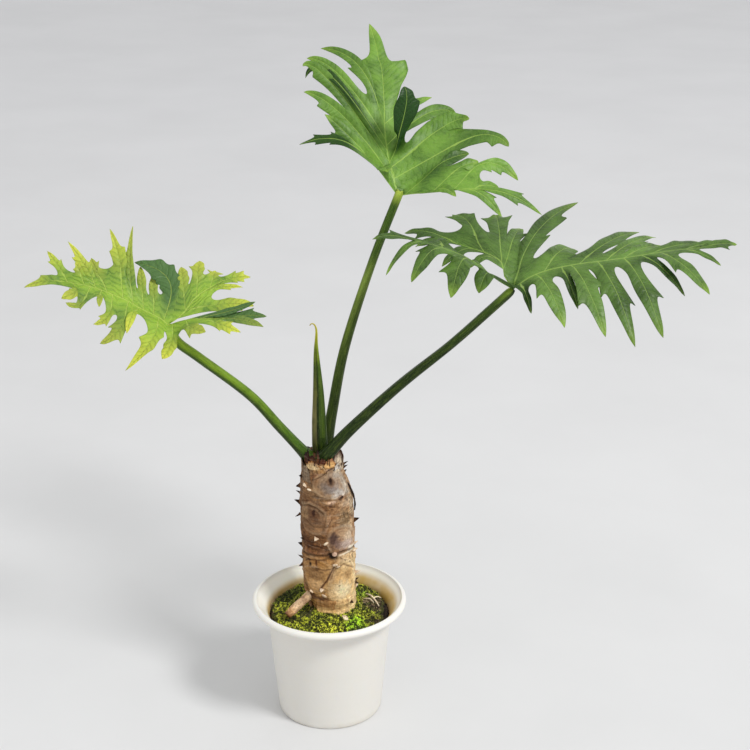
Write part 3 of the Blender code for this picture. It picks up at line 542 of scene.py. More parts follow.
veinShares = (0.08, 0.22, 0.38, 0.55, 0.73, 0.88)
# margins of a lobe: share of the way from the notch to the tip, and share of the half width
margins = {
    "plain": ((0.14, 0.8), (0.3, 0.98), (0.47, 1.0), (0.65, 0.84), (0.81, 0.58), (0.93, 0.3)),
    "tooth": ((0.14, 0.8), (0.32, 0.95), (0.62, 1.65), (0.54, 0.84), (0.76, 0.62), (0.92, 0.28)),
    "low_tooth": ((0.12, 0.85), (0.46, 1.7), (0.36, 0.9), (0.58, 0.86), (0.79, 0.6), (0.93, 0.28)),
    "two_teeth": ((0.12, 0.85), (0.43, 1.75), (0.34, 0.88), (0.74, 1.45), (0.66, 0.62), (0.91, 0.28)),
    "high_tooth": ((0.14, 0.8), (0.3, 0.95), (0.46, 0.95), (0.8, 1.5), (0.71, 0.7), (0.92, 0.3)),
    "wide_shoulder": ((0.12, 1.0), (0.25, 1.35), (0.37, 1.85), (0.49, 1.8), (0.54, 0.92), (0.82, 0.55)),
    "shoulder": ((0.14, 1.0), (0.33, 1.15), (0.56, 1.6), (0.59, 0.7), (0.76, 0.58), (0.92, 0.32)),
    "wavy": ((0.12, 0.75), (0.27, 0.95), (0.42, 1.2), (0.54, 0.85), (0.68, 1.05), (0.88, 0.55)),
    "narrow": ((0.12, 1.45), (0.28, 1.25), (0.43, 1.0), (0.58, 0.62), (0.76, 0.45), (0.92, 0.22)),
    "barb": ((0.12, 1.45), (0.28, 1.55), (0.46, 1.75), (0.48, 0.75), (0.72, 0.55), (0.92, 0.25)),
}


def lobe(at, tip, wide, web=12, arch=10, turn=0, back="plain", front="plain", via=None, fold=0.0, shade=0.0):
    # millimetres from the stalk's top; fold lifts both margins by that share of the width
    # a margin is a name from the table or its own rows, as many on the one side as on the other
    webs = web if isinstance(web, tuple) else (web, web)
    rows = [margins[side] if isinstance(side, str) else side for side in (back, front)]
    shares = veinShares
    if len(rows[0]) != len(veinShares):
        shares = sorted((a[0] + b[0]) / 2 for a, b in zip(*rows))
    return {"at": at, "tip": Vector(tip), "wide": wide, "webs": webs, "arch": arch, "turn": turn,
            "margins": rows, "shares": shares, "via": via and Vector(via), "fold": fold, "shade": shade}


rightLeaf = {
    "origin": (0.2302, -0.075, 0.634),
    "normal": (0.0, -0.28, 1.0), "uneven": 0.58,
    "midrib": {
        "points": [(0, 0, 0), (18, 4, 13), (41, 6, 22), (75, 8, 29), (116, 12, 33), (155, 16, 38),
                   (194, 20, 43), (232, 24, 45)],
        "parts": 22,
        "tip": lobe(1.0, (274, 28, 48), 9, web=9, arch=3, back="tooth"),
        "right": [
            lobe(0.04, (22, -14, -27), 5, web=12, arch=6, shade=0.6),
            lobe(0.15, (58, -58, -29), 12, web=15, arch=12, back="low_tooth"),
            lobe(0.25, (75, -40, -12), 6, web=13, arch=5, shade=0.6),
            lobe(0.33, (105, -72, -36), 13, web=14, arch=13, back="tooth", front="low_tooth"),
            lobe(0.45, (139, -82, -45), 12, web=14, arch=15, back="low_tooth", front="tooth", fold=-0.3),
            lobe(0.58, (172, -78, -35), 12, web=14, arch=14, front="tooth", fold=-0.3),
            lobe(0.69, (205, -24, -1), 7, web=12, arch=8, shade=0.6),
            lobe(0.79, (230, -44, 8), 10, web=12, arch=9, back="low_tooth"),
            lobe(0.93, (249, -6, 32), 5, web=9, arch=4)],
        "left": [
            lobe(0.0, (94, 148, 68), 11, web=(66, 34), via=(32, 68, 51), back="wavy", front="two_teeth"),
            lobe(0.19, (84, 68, 27), 16, web=22, arch=14, front="low_tooth"),
            lobe(0.37, (168, 108, 40), 10, web=20, arch=9, back="wavy", front="tooth"),
            lobe(0.49, (186, 92, 38), 8, web=16, arch=8, front="tooth"),
            lobe(0.6, (192, 62, 34), 9, web=15, arch=6, front="low_tooth"),
            lobe(0.74, (241, 60, 38), 9, web=14, arch=5, back="wavy"),
            lobe(0.89, (266, 48, 43), 7, web=10, arch=3)],
    },
    "first_basal": {
        "points": [(0, 0, 0), (-23, -6, 16), (-39, -11, 32), (-54, -15, 43), (-73, -18, 53), (-101, -20, 63),
                   (-126, -20, 68)],
        "parts": 14,
        "tip": lobe(1.0, (-171, -22, 70), 7, web=8, arch=5, back="low_tooth"),
        "left": [
            lobe(0.22, (-44, -34, 6), 12, web=13, arch=14),
            lobe(0.5, (-78, -52, 6), 14, web=15, arch=16, front="tooth"),
            lobe(0.7, (-125, -50, 25), 11, web=13, arch=14, front="low_tooth"),
            lobe(0.88, (-155, -36, 29), 5, web=10, arch=16)],
        "right": [
            lobe(0.4, (-59, 12, 16), 7, web=9, arch=8),
            lobe(0.68, (-95, 16, 57), 8, web=9, arch=4, front="tooth")],
    },
    "second_basal": {
        "points": [(0, 0, 0), (-11, 10, 15), (-12, 22, 27), (-29, 38, 33), (-53, 52, 37), (-75, 62, 41)],
        "parts": 12,
        "tip": lobe(1.0, (-131, 90, 44), 10, web=10, arch=8, front="tooth"),
        "right": [
            lobe(0.22, (17, 118, 42), 10, web=(58, 56), arch=9, back="low_tooth"),
            lobe(0.36, (-13, 138, 54), 14, web=(60, 44), arch=10, back="high_tooth", front="high_tooth"),
            lobe(0.56, (-69, 116, 60), 12, web=30, arch=14, back="tooth", front="high_tooth")],
        "left": [
            lobe(0.44, (-52, 22, 20), 7, web=10, arch=8),
            lobe(0.66, (-86, 30, 19), 9, web=11, arch=10, back="tooth"),
            lobe(0.88, (-118, 58, 36), 9, web=10, arch=7, back="tooth")],
    },
}

topLeaf = {
    "origin": (0.0926, 0.12, 0.6976),
    "normal": (0.1, -0.77, 0.64), "uneven": 0.44,
    "midrib": {
        "points": [(0, 0, 0), (-10, 18, 36), (-16, 38, 66), (-18, 56, 90)],
        "parts": 14,
        "tip": lobe(1.0, (-38, 155, 199), 18, web=22, via=(-23, 105, 150),
                    back=((0.06, 1.1), (0.17, 1.35), (0.28, 1.83), (0.36, 2.08), (0.46, 1.95), (0.44, 0.72),
                          (0.6, 0.56), (0.78, 0.52), (0.92, 0.3)),
                    front=((0.06, 0.7), (0.2, 0.78), (0.29, 0.98), (0.39, 1.13), (0.46, 1.2), (0.51, 1.45),
                           (0.52, 0.85), (0.62, 0.5), (0.84, 0.34))),
        "left": [
            lobe(0.2, (-122, 10, 135), 9, web=26, via=(-74, 30, 102), turn=-18, back="two_teeth"),
            lobe(0.42, (-124, 50, 161), 8, web=(44, 56), via=(-89, 70, 136), turn=-18, back="shoulder"),
            lobe(0.58, (-123, 92, 136), 6, web=(56, 40), via=(-89, 72, 145), turn=-18,
                 back="tooth", shade=0.6),
            lobe(0.74, (-121, 86, 164), 8, web=(40, 34), via=(-75, 72, 143), turn=-18, back="low_tooth"),
            lobe(0.92, (-103, 104, 174), 8, web=34, via=(-50, 82, 154), turn=-14, back="low_tooth")],
        "right": [
            lobe(0.24, (146, 28, 59), 8, web=(95, 96), via=(94, 40, 70),
                 back=((0.2, 1.4), (0.35, 1.9), (0.52, 2.1), (0.66, 1.0), (0.82, 0.75), (0.93, 0.4)),
                 front=((0.12, 0.75), (0.3, 0.7), (0.47, 0.65), (0.65, 0.65), (0.81, 0.6), (0.93, 0.35))),
            lobe(0.34, (95, 60, 89), 10, web=(72, 24), via=(60, 62, 77),
                 back=((0.14, 1.0), (0.33, 1.15), (0.56, 1.6), (0.59, 0.7), (0.76, 0.58), (0.92, 0.32)),
                 front=((0.1, 1.5), (0.28, 1.8), (0.45, 1.7), (0.6, 1.45), (0.7, 0.8), (0.9, 0.45))),
            lobe(0.46, (8, 22, 140), 15, web=14, via=(9, 14, 109), turn=20, shade=0.8,
                 back=((0.1, 0.45), (0.22, 0.7), (0.41, 1.13), (0.6, 1.35), (0.66, 0.7), (0.8, 0.66),
                       (0.93, 0.4)),
                 front=((0.1, 0.45), (0.22, 0.7), (0.41, 1.13), (0.56, 0.95), (0.68, 0.8), (0.8, 0.6),
                        (0.93, 0.4))),
            lobe(0.66, (80, 92, 85), 9, web=(40, 26), via=(44, 80, 94), back="wide_shoulder"),
            lobe(0.9, (47, 112, 107), 6, web=26, arch=6, front="tooth")],
    },
    "first_basal": {
        "points": [(0, 0, 0), (18, -6, 4), (54, -16, 10), (93, -24, 16), (108, -26, 15)],
        "parts": 12,
        "tip": lobe(1.0, (187, -34, -17), 6, web=9, arch=10, back="tooth", front="tooth"),
        "left": [
            lobe(0.1, (94, 26, 50), 9, web=(80, 50), arch=12, shade=0.5),
            lobe(0.38, (106, 12, 42), 8, web=(50, 44), arch=10, front="tooth"),
            lobe(0.66, (158, 8, 18), 9, web=(50, 30), via=(114, 12, 42), back="plain", front="two_teeth"),
            lobe(0.92, (132, -10, 12), 6, web=10, arch=5)],
        "right": [
            lobe(0.44, (74, -44, 11), 7, web=9, arch=8),
            lobe(0.86, (135, -40, -19), 7, web=10, arch=9, front="tooth")],
    },
    "second_basal": {
        "points": [(0, 0, 0), (-12, -3, 18), (-24, -6, 35), (-38, -9, 53), (-53, -12, 68)],
        "parts": 8,
        "tip": lobe(1.0, (-127, -30, 75), 5, web=9, via=(-89, -22, 82), turn=-40, back="two_teeth",
                    front="two_teeth", shade=0.5),
        "right": [lobe(0.8, (-95, 6, 107), 9, web=14, arch=3, turn=-10, front="tooth")],
        "left": [lobe(0.55, (-14, -32, 40), 10, web=10, arch=6)],
    },
}

leftLeaf = {
    "origin": (-0.1994, -0.015, 0.5662),
    "normal": (-0.05, -0.6, 0.8), "uneven": 0.48,
    "midrib": {
        "points": [(0, 0, 0), (-10, 3, 8), (-35, 6, 20), (-50, 8, 29), (-70, 9, 38), (-91, 10, 46),
                   (-113, 9, 52), (-132, 8, 55)],
        "parts": 20,
        "tip": lobe(1.0, (-178, 0, 50), 6, web=7, arch=4, back="barb", front="plain"),
        "left": [
            lobe(0.12, (-48, -60, -39), 9, web=16, via=(-17, -44, -8),
                 back=((0.12, 1.1), (0.24, 1.5), (0.27, 0.8), (0.5, 1.2), (0.52, 0.6), (0.9, 0.25)),
                 front=((0.12, 1.1), (0.24, 1.1), (0.38, 1.9), (0.46, 0.9), (0.7, 0.7), (0.9, 0.3))),
            lobe(0.3, (-46, -42, 4), 6, web=16, arch=8, back="plain"),
            lobe(0.4, (-80, -44, -9), 9, web=(16, 18), via=(-56, -34, 7), back="tooth", front="low_tooth"),
            lobe(0.55, (-89, -30, 12), 6, web=(18, 14), via=(-72, -18, 18), back="tooth", front="tooth"),
            lobe(0.66, (-82, -20, 31), 4, web=14, arch=4),
            lobe(0.76, (-122, -26, 39), 5, web=(14, 22), via=(-106, -20, 34), back="low_tooth"),
            lobe(0.88, (-128, -22, 43), 8, web=(22, 14), via=(-110, -8, 49), back="plain", front="wavy")],
        "right": [
            lobe(0.04, (-46, 50, 67), 14, web=(30, 24), via=(-1, 38, 46), shade=0.8,
                 back=((0.12, 0.8), (0.24, 1.25), (0.31, 0.85), (0.44, 1.35), (0.52, 0.85), (0.64, 1.2),
                       (0.73, 0.65), (0.9, 0.45)),
                 front=((0.1, 0.75), (0.22, 1.2), (0.3, 0.8), (0.4, 1.3), (0.5, 0.9), (0.6, 1.3),
                        (0.7, 0.7), (0.88, 0.5))),
            lobe(0.16, (-22, 46, 52), 6, web=(26, 22), arch=2, shade=0.2),
            lobe(0.26, (-38, 48, 62), 6, web=(22, 24), arch=2),
            lobe(0.36, (-47, 62, 112), 5, web=(24, 36), via=(-50, 36, 66), back="narrow", front="barb"),
            lobe(0.46, (-76, 58, 109), 6, web=(36, 36), via=(-62, 36, 74), back="barb", front="barb"),
            lobe(0.58, (-99, 40, 76), 5, web=(36, 22), via=(-88, 24, 58), back="tooth"),
            lobe(0.7, (-128, 44, 97), 6, web=(22, 16), via=(-102, 25, 66), back="low_tooth",
                 front="two_teeth"),
            lobe(0.82, (-116, 22, 76), 4, web=14, arch=3, front="barb"),
            lobe(0.95, (-152, 30, 88), 5, web=12, arch=3, back="low_tooth", front="tooth")],
    },
    "first_basal": {
        "points": [(0, 0, 0), (14, 6, 8), (24, 12, 18), (33, 20, 29), (49, 30, 38), (64, 38, 44)],
        "parts": 12,
        "tip": lobe(1.0, (103, 44, 49), 6, web=9, arch=3, back="two_teeth", front="two_teeth"),
        "left": [
            lobe(0.36, (13, 56, 59), 8, web=(24, 26), arch=4, back="tooth", front="wavy"),
            lobe(0.56, (36, 60, 66), 8, web=(26, 26), arch=4, back="tooth", front="wavy"),
            lobe(0.82, (58, 58, 52), 7, web=(22, 14), arch=4, back="tooth", front="tooth")],
        "right": [
            lobe(0.34, (108, 20, 18), 8, web=(14, 20), via=(74, 18, 22), back="two_teeth", front="wavy"),
            lobe(0.76, (93, 34, 39), 4, web=10, arch=3, back="tooth")],
    },
    "second_basal": {
        "points": [(0, 0, 0), (22, -6, 9), (46, -14, 14), (74, -20, 15)],
        "parts": 12,
        "tip": lobe(1.0, (127, -24, 20), 7, web=10, arch=3, back="tooth", front="tooth", shade=0.5),
        "right": [
            lobe(0.1, (-3, -50, -27), 8, web=16, via=(7, -32, -13), back="wavy", front="wavy"),
            lobe(0.32, (53, -50, 9), 9, web=18, via=(32, -34, 9), back="tooth", front="wavy"),
            lobe(0.66, (96, -44, 6), 6, web=14, via=(72, -36, 13), back="two_teeth", front="tooth"),
            lobe(0.9, (124, -40, 12), 6, web=12, arch=4, shade=0.3)],
        "left": [
            lobe(0.5, (113, -20, 38), 5, web=8, via=(80, -16, 24), back="wavy", shade=0.8)],
    },
}

bladeForm = {"subdivisions": 2, "thickness": 0.0006, "veinDepth": 0.0005, "wave": 0.16, "bulge": 0.1,
"ribWide": 1.25, "ribNarrow": 0.6, "notchWidth": 0.62, "notchMost": 0.62,
             "toothFrom": 1.3, "toothCrease": 0.45, "tipCrease": 0.8}


def ribSide(ids, lobes, outward, bare=False):
    # shares one side's lobes out over the rib's vertices, in walking order round the leaf
    last = len(ids) - 1
    veinAt = [round(item["at"] * last) for item in lobes]
    cuts = [0] + [math.ceil((a + b) / 2) for a, b in zip(veinAt, veinAt[1:])] + [last]
    if bare:
        cuts[0] = max(1, veinAt[0] - 2)
    steps = []
    for i, item in enumerate(lobes):
        path = ids[cuts[i]:cuts[i + 1] + 1]
        vein = min(max(veinAt[i] - cuts[i], 0), len(path) - 1)
        order = 1 if outward else -1
        if not outward:
            vein = len(path) - 1 - vein
        steps.append({"path": path[::order], "vein": vein, "margins": item["margins"][::order],
                      "webs": item["webs"][::order], "lobe": item})
    return steps if outward else steps[::-1]


def bladeCage(leaf, seed):
    # one sheet: every lobe is a strip of rows, five points wide, that shares a notch with each neighbour
    dice = random.Random(seed)
    form = bladeForm
    verts = [Vector((0, 0, 0))]
    normal = Vector(leaf["normal"]).normalized()
    walk = []
    for name in ("first_basal", "midrib", "second_basal"):
        rib = leaf[name]
        ids = [0]
        curve = smoothCurve(rib["points"], rib["parts"] + 1)
        for p in curve[1:]:
            ids.append(len(verts))
            verts.append(p)
        end = rib["tip"]
        walk += ribSide(ids, rib["right"], True, bare=name == "first_basal")
        walk.append({"path": ids[-1:], "vein": 0, "margins": end["margins"], "webs": end["webs"],
                     "lobe": end})
        walk += ribSide(ids, rib["left"], False, bare=name == "second_basal")
    for step in walk:
        step["reach"] = (step["lobe"]["tip"] - verts[step["path"][step["vein"]]]).length
        step["notch"] = [min(form["notchMost"], web / step["reach"]) for web in step["webs"]]
        step["phase"] = dice.uniform(0, math.tau)
        step["fold"] = step["lobe"]["fold"] + dice.uniform(-0.1, 0.1)
        # tone is painted shade from the lobe's shade, plus random unevenness
        step["tone"] = min(1.0, max(0.0, step["lobe"]["shade"] + dice.uniform(0.0, leaf["uneven"])))

    def veinPoint(step, share):
        item = step["lobe"]
        root = verts[step["path"][step["vein"]]]
        middle = item["via"] or (root + item["tip"]) / 2 + Vector((0, 0, item["arch"]))
        bend = middle * 2 - (root + item["tip"]) / 2
        return (1 - share) ** 2 * root + 2 * share * (1 - share) * bend + share ** 2 * item["tip"]

    def marginPoint(step, share, width, hand, lift=0.0):
        ahead = veinPoint(step, min(share + 0.02, 1.0)) - veinPoint(step, max(share - 0.02, 0.0))
        ahead.normalize()
        across = normal.cross(ahead).normalized()
        turn = math.radians(step["lobe"]["turn"])
        up = ahead.cross(across)
        across, up = (across * math.cos(turn) + up * math.sin(turn),
                      up * math.cos(turn) - across * math.sin(turn))
        reach = width * step["lobe"]["wide"]
        return veinPoint(step, share) + across * (hand * reach) + up * lift

    facts = {}    # vertex number to what its attributes hold

    def addVert(spot, tip, tone, vein, uv=(0.0, 0.0)):
        facts[len(verts)] = {"tip": tip, "tone": tone, "vein": vein}
        verts.append(spot)
        return len(verts) - 1, uv

    notches, gap = [walk[0]["path"][0]], form["notchWidth"]
    for a, b in zip(walk, walk[1:]):
        spot = (marginPoint(a, a["notch"][1], gap, 1) + marginPoint(b, b["notch"][0], gap, -1)) / 2
        share = (a["notch"][1] + b["notch"][0]) / 2 * 0.5
        notches.append(addVert(spot, share, (a["tone"] + b["tone"]) / 2, 6.0)[0])
    notches.append(walk[-1]["path"][-1])

    faces, faceUvs, sharp = [], [], {}

    def addFace(corners, uvs):
        kept = [(v, uv) for i, (v, uv) in enumerate(zip(corners, uvs)) if v != corners[i - 1]]
        if len(kept) > 2:
            faces.append([v for v, uv in kept][::-1])
            faceUvs.append([uv for v, uv in kept][::-1])

    for number, step in enumerate(walk):
        reach, wide, tone = step["reach"], step["lobe"]["wide"], step["tone"]
        start = min(step["notch"])
        shares = [start * 0.75] + [start + (1 - start) * share for share in step["lobe"]["shares"]]
        spine = [addVert(veinPoint(step, share), share, tone, 0.0, (0.0, share * reach)) for share in shares]
        sides = []
        for side, hand in ((0, -1), (1, 1)):
            notch = step["notch"][side]
            margin = [(notches[number + side], (hand * gap * wide, notch * reach))]
            middle = []
            for row, (share, width) in enumerate(step["margins"][side]):
                along = notch + (1 - notch) * share
                wave = math.sin(2.3 * row + step["phase"] + hand) * form["wave"] * wide
                lift = step["fold"] * wide * width + wave
                margin.append(addVert(marginPoint(step, along, width, hand, lift), along, tone, wide * width,
                                      (hand * width * wide, along * reach)))
                if width > form["toothFrom"]:
                    sharp[margin[-1][0]] = form["toothCrease"]
            for row, ((v, (a, b)), (w, (c, d))) in enumerate(zip(margin, spine)):
                spot = (verts[v] + verts[w]) / 2
                up = form["bulge"] * abs(a - c) * (0.4 if row == 0 else 1.0)
                middle.append(addVert(spot + normal * up, (b + d) / 2 / reach, tone, abs(a - c) / 2,
                                      ((a + c) / 2, (b + d) / 2)))
            sides.append((margin, middle))
        tip = addVert(step["lobe"]["tip"].copy(), 1.0, tone, 0.0, (0.0, reach))
        sharp[tip[0]] = form["tipCrease"]
        path, vein = step["path"], step["vein"]
        root = verts[path[vein]]
        along = [(v, ((verts[v] - root).length * (-1 if i < vein else 1), 0.0)) for i, v in enumerate(path)]
        (right, midRight), (left, midLeft) = sides

        def put(*corners):
            addFace([c[0] for c in corners], [c[1] for c in corners])

        put(right[0], *along[:vein + 1], spine[0], midRight[0])
        put(*along[vein:], left[0], midLeft[0], spine[0])
        for row in range(len(spine) - 1):
            put(right[row], midRight[row], midRight[row + 1], right[row + 1])
            put(midRight[row], spine[row], spine[row + 1], midRight[row + 1])
            put(spine[row], midLeft[row], midLeft[row + 1], spine[row + 1])
            put(midLeft[row], left[row], left[row + 1], midLeft[row + 1])
        put(right[-1], midRight[-1], tip)
        put(midRight[-1], spine[-1], tip)
        put(spine[-1], midLeft[-1], tip)
        put(midLeft[-1], left[-1], tip)
    onRib = {v for step in walk for v in step["path"]} | {0}
    return np.array([tuple(v) for v in verts]), faces, faceUvs, facts, onRib, sharp


def edgeDistance(places, starts, ends):
    # distance of every place from the nearest of some short straight edges
    best = np.full(len(places), 1e3)
    for a, b in zip(starts, ends):
        run = b - a
        t = np.clip((places - a) @ run / (run @ run), 0, 1)
        best = np.minimum(best, np.linalg.norm(places - a - t[:, None] * run, axis=1))
    return best


def makeBlade(name, leaf, node, mats, seed):
    grid, faces, faceUvs, facts, onRib, sharp = bladeCage(leaf, seed)
    count = len(grid)
    mesh = newMesh(name, (grid * mm + np.array(leaf["origin"])).tolist(), faces)
    uv = mesh.uv_layers.new(name="lobe")
    uv.data.foreach_set("uv", [x for face in faceUvs for pair in face for x in pair])
    for label, key in (("tipShare", "tip"), ("tone", "tone"), ("veinMm", "vein")):
        storeFloats(mesh, label, [facts.get(i, {key: 0})[key] for i in range(count)])
    storeFloats(mesh, "onRib", [1.0 if i in onRib else 0.0 for i in range(count)])
    storeFloats(mesh, "crease_vert", [sharp.get(i, 0.0) for i in range(count)])
    crease = [1.0 if a in onRib and b in onRib else 0.0 for a, b in (edge.vertices for edge in mesh.edges)]
    creased = mesh.attributes.new("crease_edge", "FLOAT", "EDGE")
    creased.data.foreach_set("value", np.array(crease, np.float32))
    cage = newObject(name + "Cage", mesh)
    smooth = cage.modifiers.new("smooth", "SUBSURF")
    smooth.levels = smooth.render_levels = bladeForm["subdivisions"]
    smooth.uv_smooth = "NONE"
    fine = evaluatedCopy(cage, name)
    bpy.data.objects.remove(cage, do_unlink=True)
    # sink the veins and note how far every point is from a main rib, in rib half widths
    size = len(fine.vertices)
    place, normals, across, rib = np.zeros(size * 3), np.zeros(size * 3), np.zeros(size), np.zeros(size)
    fine.vertices.foreach_get("co", place)
    fine.vertex_normals.foreach_get("vector", normals)
    fine.attributes["veinMm"].data.foreach_get("value", across)
    fine.attributes["onRib"].data.foreach_get("value", rib)
    place = place.reshape(-1, 3)
    ends = np.zeros(len(fine.edges) * 2, int)
    fine.edges.foreach_get("vertices", ends)
    ends = ends.reshape(-1, 2)
    ends = ends[(rib[ends] > 0.999).all(1)]
    away = edgeDistance(place, place[ends[:, 0]], place[ends[:, 1]]) * 1000
    out = np.linalg.norm(place - np.array(leaf["origin"]), axis=1)
    wide, narrow = bladeForm["ribWide"], bladeForm["ribNarrow"]
    half = wide + (narrow - wide) * np.minimum(1, out / out.max() * 1.2)
    across = np.minimum(across, away)
    sink = -bladeForm["veinDepth"] * np.exp(-(across / 1.8) ** 2)
    fine.vertices.foreach_set("co", (place + normals.reshape(-1, 3) * sink[:, None]).ravel())
    fine.update()
    storeFloats(fine, "ribShare", np.minimum(away / half, 9.0))
    for extra in ("veinMm", "onRib", "crease_vert", "crease_edge"):
        if extra in fine.attributes:
            fine.attributes.remove(fine.attributes[extra])
    for mat in mats:
        fine.materials.append(mat)
    fine.shade_smooth()
    blade = newObject(name, fine)
    thick = blade.modifiers.new("thickness", "SOLIDIFY")
    thick.thickness = bladeForm["thickness"]
    thick.offset = 0.0
    thick.material_offset = 1
    thick.material_offset_rim = 0
    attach(blade, "root")
    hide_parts(node)
    return blade


for name, leaf, node, slot, look, skin, seed in (
        ("bladeRight", rightLeaf, "leaf_right", "green_leaf", "dark", "darkLeaf", 5),
        ("bladeTop", topLeaf, "leaf_top", "green_leaf", "mature", "leafGreen", 8),
        ("bladeLeft", leftLeaf, "leaf_left", "young_leaf", "fresh", "youngLeaf", 3)):
    mats = [leafMaterial(skin + side, leafLooks[look], side == "Under") for side in ("Upper", "Under")]
    makeBlade(name, leaf, node, mats, seed)
print("blades made")


# pot

potForm = {"sides": 128, "height": 0.168, "rim": 0.105, "base": 0.071, "shoulder": 0.084,
           "shoulderHeight": 0.142, "wall": 0.002, "floor": 0.003, "bead": 0.005, "hollow": 2.4,
           "foot": 0.0022,
           "lip": [(0.0986, 0.1668), (0.0978, 0.1654), (0.0968, 0.164)],
           "holes": 6, "holeRadius": 0.005, "holeRing": 0.045,
           "wallColour": (0.76, 0.735, 0.685), "lipColour": (0.85, 0.835, 0.785),
           "innerPaintedLight": (0.985, 0.96, 0.87), "stain": (0.6, 0.39, 0.065)}


def potRadius(z):
    form = potForm
    if z <= form["shoulderHeight"]:
        return form["base"] + (form["shoulder"] - form["base"]) * z / form["shoulderHeight"]
    rise = (z - form["shoulderHeight"]) / (form["height"] - form["bead"] - form["shoulderHeight"])
    reach = form["rim"] - form["bead"] - form["shoulder"]
    return form["shoulder"] + reach * (0.25 * rise + 0.75 * rise ** form["hollow"])


def makePot():
    form = potForm
    foot = form["foot"]
    profile = [(form["base"] - foot + foot * math.sin(a), foot - foot * math.cos(a))
               for a in map(math.radians, (0, 30, 60))]
    heights = [foot, 0.006] + [0.012 + 0.013 * i for i in range(10)]
    heights += [form["shoulderHeight"] - 0.004 + 0.0016 * i for i in range(15)]
    profile += [(potRadius(z), z) for z in heights]
    beadRadius, beadHeight = form["rim"] - form["bead"], form["height"] - form["bead"]
    for turn in range(-80, 101, 10):
        angle = math.radians(turn)
        profile.append((beadRadius + form["bead"] * math.cos(angle),
                        beadHeight + form["bead"] * math.sin(angle)))
    inner = len(profile)
    # the lip turns smoothly into the inner wall
    profile += form["lip"] + [(potRadius(z) - form["wall"] - 0.0022 * smoothStep(z, 0.157, 0.163), z)
                              for z in heights[::-1] if form["floor"] < z < 0.1635]
    profile.append((potRadius(form["floor"]) - form["wall"], form["floor"]))
    rows = [ringPoints(r, z, form["sides"]) for r, z in profile]
    mesh = skinMesh("potShell", rows, [z * 1000 for r, z in profile], 3.5)
    inside = [1.0 if i // form["sides"] >= inner else 0.0 for i in range(len(mesh.vertices))]
    storeFloats(mesh, "inside", inside)

    # cream plastic, a little stained inside above the moss
    mat, tree, shader = newMaterial("creamPlastic")
    place = objectPlace(tree)
    parts = addNode(tree, "ShaderNodeSeparateXYZ")
    link(tree, place, parts.inputs[0])
    spots = useGroup(tree, speckle, Vector=place, Size=420.0, Amount=0.5)
    flow = noiseNode(tree, stretched(tree, place, (9.0, 9.0, 60.0)), 1.0, 3.0)
    rise = parts.outputs[2]
    colour = mixColour(tree, mapRange(tree, rise, 0.15, 0.166), form["wallColour"], form["lipColour"])
    colour = mixColour(tree, mapRange(tree, flow, 0.3, 0.7, 0.0, 0.12), colour, (0.72, 0.69, 0.58))
    # painted light: the inner wall is a much lighter cream than the outer wall, standing in for light inside
    # the pot
    inner = times(tree, attribute(tree, "inside"), mapRange(tree, rise, 0.1675, 0.1625))
    colour = mixColour(tree, inner, colour, form["innerPaintedLight"])
    # the stain reaches higher towards the right and the back
    side = plus(tree, parts.outputs[0], times(tree, parts.outputs[1], 0.4))
    level = plus(tree, rise, mapRange(tree, side, -0.07, 0.08, 0.0022, -0.005))
    low = mapRange(tree, level, 0.1485, 0.1582, 1.0, 0.0, smooth=True)
    blotch = mapRange(tree, noiseNode(tree, place, 26.0, 4.0), 0.3, 0.6, 0.7, 1.0)
    stain = times(tree, times(tree, low, attribute(tree, "inside")), blotch)
    colour = mixColour(tree, times(tree, stain, 0.95), colour, form["stain"])
    dirt = times(tree, mapRange(tree, rise, 0.0, 0.01, 0.35, 0.0), spots.outputs["Mottle"])
    colour = mixColour(tree, dirt, colour, (0.42, 0.36, 0.26))
    colour = mixColour(tree, times(tree, spots.outputs["Spots"], 0.1), colour, (0.55, 0.5, 0.4))
    link(tree, colour, shader.inputs["Base Color"])
    link(tree, mapRange(tree, spots.outputs["Mottle"], 0.0, 1.0, 0.36, 0.5), shader.inputs["Roughness"])
    grain = noiseNode(tree, place, 1500.0, 2.0)
    relief = plus(tree, times(tree, grain, 0.25), flow)
    bump(tree, shader, relief, 0.1, 0.0006)
    lightInto(shader, 0.12, (0.004, 0.003, 0.0018))
    shader.inputs["IOR"].default_value = 1.49
    pot = addPiece("potShell", mesh, mat, "pot")

    drills = bpy.data.collections.new("drainDrills")
    for i in range(form["holes"]):
        angle = math.tau * (i + 0.5) / form["holes"]
        middle = Vector((form["holeRing"] * math.cos(angle), form["holeRing"] * math.sin(angle), 0))
        rows = tubeRows([middle + Vector((0, 0, z)) for z in (-0.01, 0.01)], [form["holeRadius"]] * 2, 24)
        drill = bpy.data.objects.new("drainDrill", skinMesh("drainDrill", rows))
        drills.objects.link(drill)
    cut = pot.modifiers.new("holes", "BOOLEAN")
    cut.operand_type = "COLLECTION"
    cut.collection = drills
    mesh = evaluatedCopy(pot, "potShell")
    pot.modifiers.remove(cut)
    pot.data = mesh
    mesh.set_sharp_from_angle(angle=math.radians(50))
    for drill in list(drills.objects):
        bpy.data.objects.remove(drill, do_unlink=True)


makePot()
print("pot made")


# soil and moss

mossForm = {"radius": 0.0795, "edge": 0.144, "crown": 0.158, "foot": 0.029, "footX": 0.004,
            "gap": 0.006, "sides": 150, "rings": 34, "thick": 0.0027,
            "tufts": {"Density": 400000.0, "Smallest": 0.5, "Largest": 1.5, "Lean": 0.55, "Seed": 4},
            "bits": {"Density": 110000.0, "Smallest": 0.5, "Largest": 1.7, "Lean": 0.35, "Seed": 9},
            "crumbs": {"Density": 330000.0, "Smallest": 0.45, "Largest": 1.5, "Lean": 3.0, "Seed": 2}}
soilForm = {"inner": 0.064, "outer": 0.0812, "height": 0.1412, "sides": 96, "rings": 8, "crumbsFrom": 0.067}
